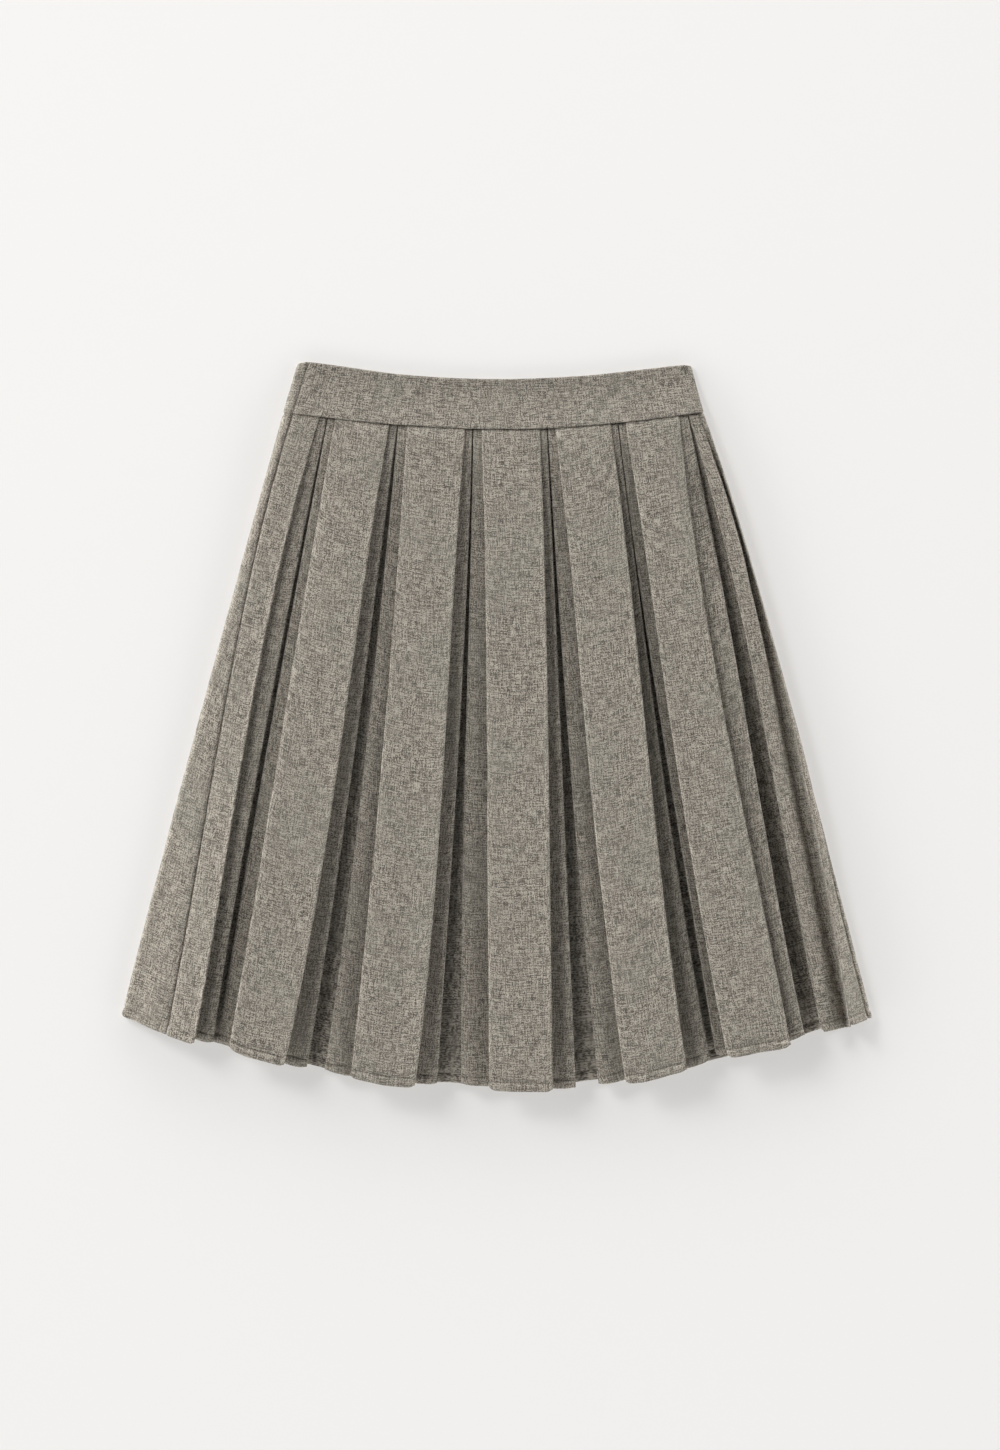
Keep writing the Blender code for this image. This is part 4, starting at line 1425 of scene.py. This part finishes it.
class SkirtColours(bpy.types.PropertyGroup):
    """Colours of the wool's fibres, the thread and the ground."""

    dark: bpy.props.FloatVectorProperty(
        name="Dark Fibre", description="Colour of the darkest fibres",
        default=(0.085, 0.074, 0.06, 1.0), size=4, subtype="COLOR")
    light: bpy.props.FloatVectorProperty(
        name="Light Fibre", description="Colour of the palest fibres",
        default=(0.475, 0.432, 0.362, 1.0), size=4, subtype="COLOR")
    slub: bpy.props.FloatVectorProperty(
        name="Slub", description="Colour of the thick places in the yarn",
        default=(0.17, 0.155, 0.13, 1.0), size=4, subtype="COLOR")
    warm: bpy.props.FloatVectorProperty(
        name="Warm Mottling", description="Colour of the warmer patches",
        default=(0.3, 0.25, 0.215, 1.0), size=4, subtype="COLOR")
    cool: bpy.props.FloatVectorProperty(
        name="Cool Mottling", description="Colour of the cooler, greener patches",
        default=(0.24, 0.245, 0.2, 1.0), size=4, subtype="COLOR")
    thread: bpy.props.FloatVectorProperty(
        name="Thread", description="Colour of the sewing thread",
        default=(0.1, 0.09, 0.072, 1.0), size=4, subtype="COLOR")
    ground: bpy.props.FloatVectorProperty(
        name="Ground", description="Colour of the studio ground",
        default=(0.52, 0.51, 0.5, 1.0), size=4, subtype="COLOR")
    glow: bpy.props.FloatVectorProperty(
        name="Ground Glow", description="Colour of the light from under the ground",
        default=(1.0, 0.982, 0.966, 1.0), size=4, subtype="COLOR")


class SKIRT_OT_front_panel(bpy.types.Operator):
    """Lay the front panel with its five boxes and two half boxes."""

    bl_idname = "skirt.front_panel"
    bl_label = "Front Panel"

    def execute(self, context):
        thickness = context.scene.skirt_sizes.cloth / MM
        wool = shared_wool("greige_melange_wool", SKIRT_SHADE)
        panel = build_panel("skirt_front_cloth", front_path, wool, thickness)
        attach(panel, BODY)
        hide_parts("front_panel")
        return {"FINISHED"}


class SKIRT_OT_back_panel(bpy.types.Operator):
    """Lay the back panel, which turns up onto the front at the left."""

    bl_idname = "skirt.back_panel"
    bl_label = "Back Panel"

    def execute(self, context):
        thickness = context.scene.skirt_sizes.cloth / MM
        wool = shared_wool("greige_melange_wool", SKIRT_SHADE)
        panel = build_panel("skirt_back_cloth", back_path, wool, thickness)
        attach(panel, BODY)
        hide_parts("back_panel")
        return {"FINISHED"}


class SKIRT_OT_waistband(bpy.types.Operator):
    """Sew on the two halves of the waistband."""

    bl_idname = "skirt.waistband"
    bl_label = "Waistband"

    def execute(self, context):
        # The band's wool is a darkened copy of the skirt's wool: painted shade
        wool = shared_wool("greige_melange_wool_band_painted_shade", BAND_PAINTED_SHADE)
        for name, node, is_front in (
            ("waistband_front_cloth", "waistband_front", True),
            ("waistband_back_cloth", "waistband_back", False),
        ):
            band = build_band(name, is_front, wool)
            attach(band, BODY)
            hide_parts(node)
        return {"FINISHED"}


class SKIRT_OT_hem_stitches(bpy.types.Operator):
    """Sew the hem's line of small stitches."""

    bl_idname = "skirt.hem_stitches"
    bl_label = "Hem Stitches"

    def execute(self, context):
        sizes = context.scene.skirt_sizes
        thread = thread_material(tuple(context.scene.skirt_colours.thread))
        for name, path, sunk in (
            ("hem_stitches_front", front_path, 0.0),
            ("hem_stitches_back", back_path, BACK_STITCH_SUNK),
        ):
            places = stitch_places(path, STITCH_SHARE, sizes.cloth / MM - sunk)
            mesh = stitch_mesh(name, places, sizes.stitch_length, sizes.thread)
            stitches = add_object(name, mesh, thread)
            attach(stitches, BODY)
        return {"FINISHED"}


class SKIRT_OT_studio(bpy.types.Operator):
    """Set out the pale ground, the soft lights and the camera straight above."""

    bl_idname = "skirt.studio"
    bl_label = "Studio"

    def execute(self, context):
        scene = context.scene
        colours = scene.skirt_colours
        ground = bpy.data.meshes.new("ground")
        reach = GROUND_REACH
        corners = [(-reach, -reach, 0), (reach, -reach, 0), (reach, reach, 0), (-reach, reach, 0)]
        ground.from_pydata(corners, [], [(0, 1, 2, 3)])
        pale = ground_material(tuple(colours.ground), tuple(colours.glow))
        floor = add_object("ground", ground, pale)
        floor.location.z = -GROUND_DROP
        add_key_light(scene)
        scene.world = studio_world()
        scene.view_settings.view_transform = "Standard"
        add_camera(scene)
        return {"FINISHED"}


def studio_world():
    """White walls all round the table, brightest low down, under a dim ceiling."""
    world = bpy.data.worlds.new("studio_air")
    world.use_nodes = True
    tree = world.node_tree
    coordinate = tree.nodes.new("ShaderNodeTexCoord")
    view = add_node(tree, "ShaderNodeSeparateXYZ", Vector=coordinate.outputs["Generated"])
    air = spread(tree, view.outputs["Z"], Spread(*AIR_HEIGHTS, LOW_AIR, HIGH_AIR))
    sideways = math_node(tree, "SUBTRACT", view.outputs["Y"], view.outputs["X"])
    window = spread(tree, sideways, Spread(*WINDOW_REACH, *WINDOW_SHARES))
    background = tree.nodes["Background"]
    background.inputs["Color"].default_value = (1.0, 1.0, 1.0, 1.0)
    tree.links.new(math_node(tree, "MULTIPLY", air, window), background.inputs["Strength"])
    return world


def add_key_light(scene):
    """Square soft light from the upper left, which faces the skirt's middle."""
    data = bpy.data.lights.new("key_light", "AREA")
    data.shape = "SQUARE"
    data.size = KEY_SIZE
    data.energy = KEY_POWER
    lamp = bpy.data.objects.new("key_light", data)
    lamp.location = KEY_PLACE
    lamp.rotation_euler = (-Vector(KEY_PLACE)).to_track_quat("-Z", "Y").to_euler()
    scene.collection.objects.link(lamp)


def add_camera(scene):
    """Camera straight above, which frames the skirt as the photograph does."""
    data = bpy.data.cameras.new("camera")
    data.sensor_fit = "VERTICAL"
    data.sensor_height = SENSOR_HEIGHT
    data.lens = SENSOR_HEIGHT * (CAMERA_HEIGHT - CLOTH_LEVEL) / (IMAGE_HEIGHT * PIXEL * MM)
    data.dof.use_dof = False
    camera = bpy.data.objects.new("camera", data)
    camera.location = (IMAGE_CENTRE.x * MM, IMAGE_CENTRE.y * MM, CAMERA_HEIGHT)
    scene.collection.objects.link(camera)
    scene.camera = camera


class SKIRT_PT_panel(bpy.types.Panel):
    """Lists the skirt's pieces."""

    bl_label = "Skirt"
    bl_idname = "SKIRT_PT_panel"
    bl_space_type = "VIEW_3D"
    bl_region_type = "UI"
    bl_category = "Skirt"

    def draw(self, context):
        layout = self.layout
        for operator in OPERATORS:
            layout.operator(operator.bl_idname)
        for group in (context.scene.skirt_sizes, context.scene.skirt_colours):
            column = layout.column()
            for key in group.__annotations__:
                column.prop(group, key)


OPERATORS = (
    SKIRT_OT_back_panel,
    SKIRT_OT_front_panel,
    SKIRT_OT_waistband,
    SKIRT_OT_hem_stitches,
    SKIRT_OT_studio,
)
CLASSES = (SkirtSizes, SkirtColours, *OPERATORS, SKIRT_PT_panel)


def register():
    """Register the classes and hang the two groups on the scene."""
    for entry in CLASSES:
        bpy.utils.register_class(entry)
    bpy.types.Scene.skirt_sizes = bpy.props.PointerProperty(type=SkirtSizes)
    bpy.types.Scene.skirt_colours = bpy.props.PointerProperty(type=SkirtColours)


def unregister():
    """Take the groups off the scene and unregister the classes."""
    del bpy.types.Scene.skirt_colours
    del bpy.types.Scene.skirt_sizes
    for entry in reversed(CLASSES):
        bpy.utils.unregister_class(entry)


def main():
    """Register the classes, then build every piece and the studio."""
    register()
    bpy.ops.skirt.back_panel()
    bpy.ops.skirt.front_panel()
    bpy.ops.skirt.waistband()
    bpy.ops.skirt.hem_stitches()
    bpy.ops.skirt.studio()


if __name__ == "__main__":
    main()
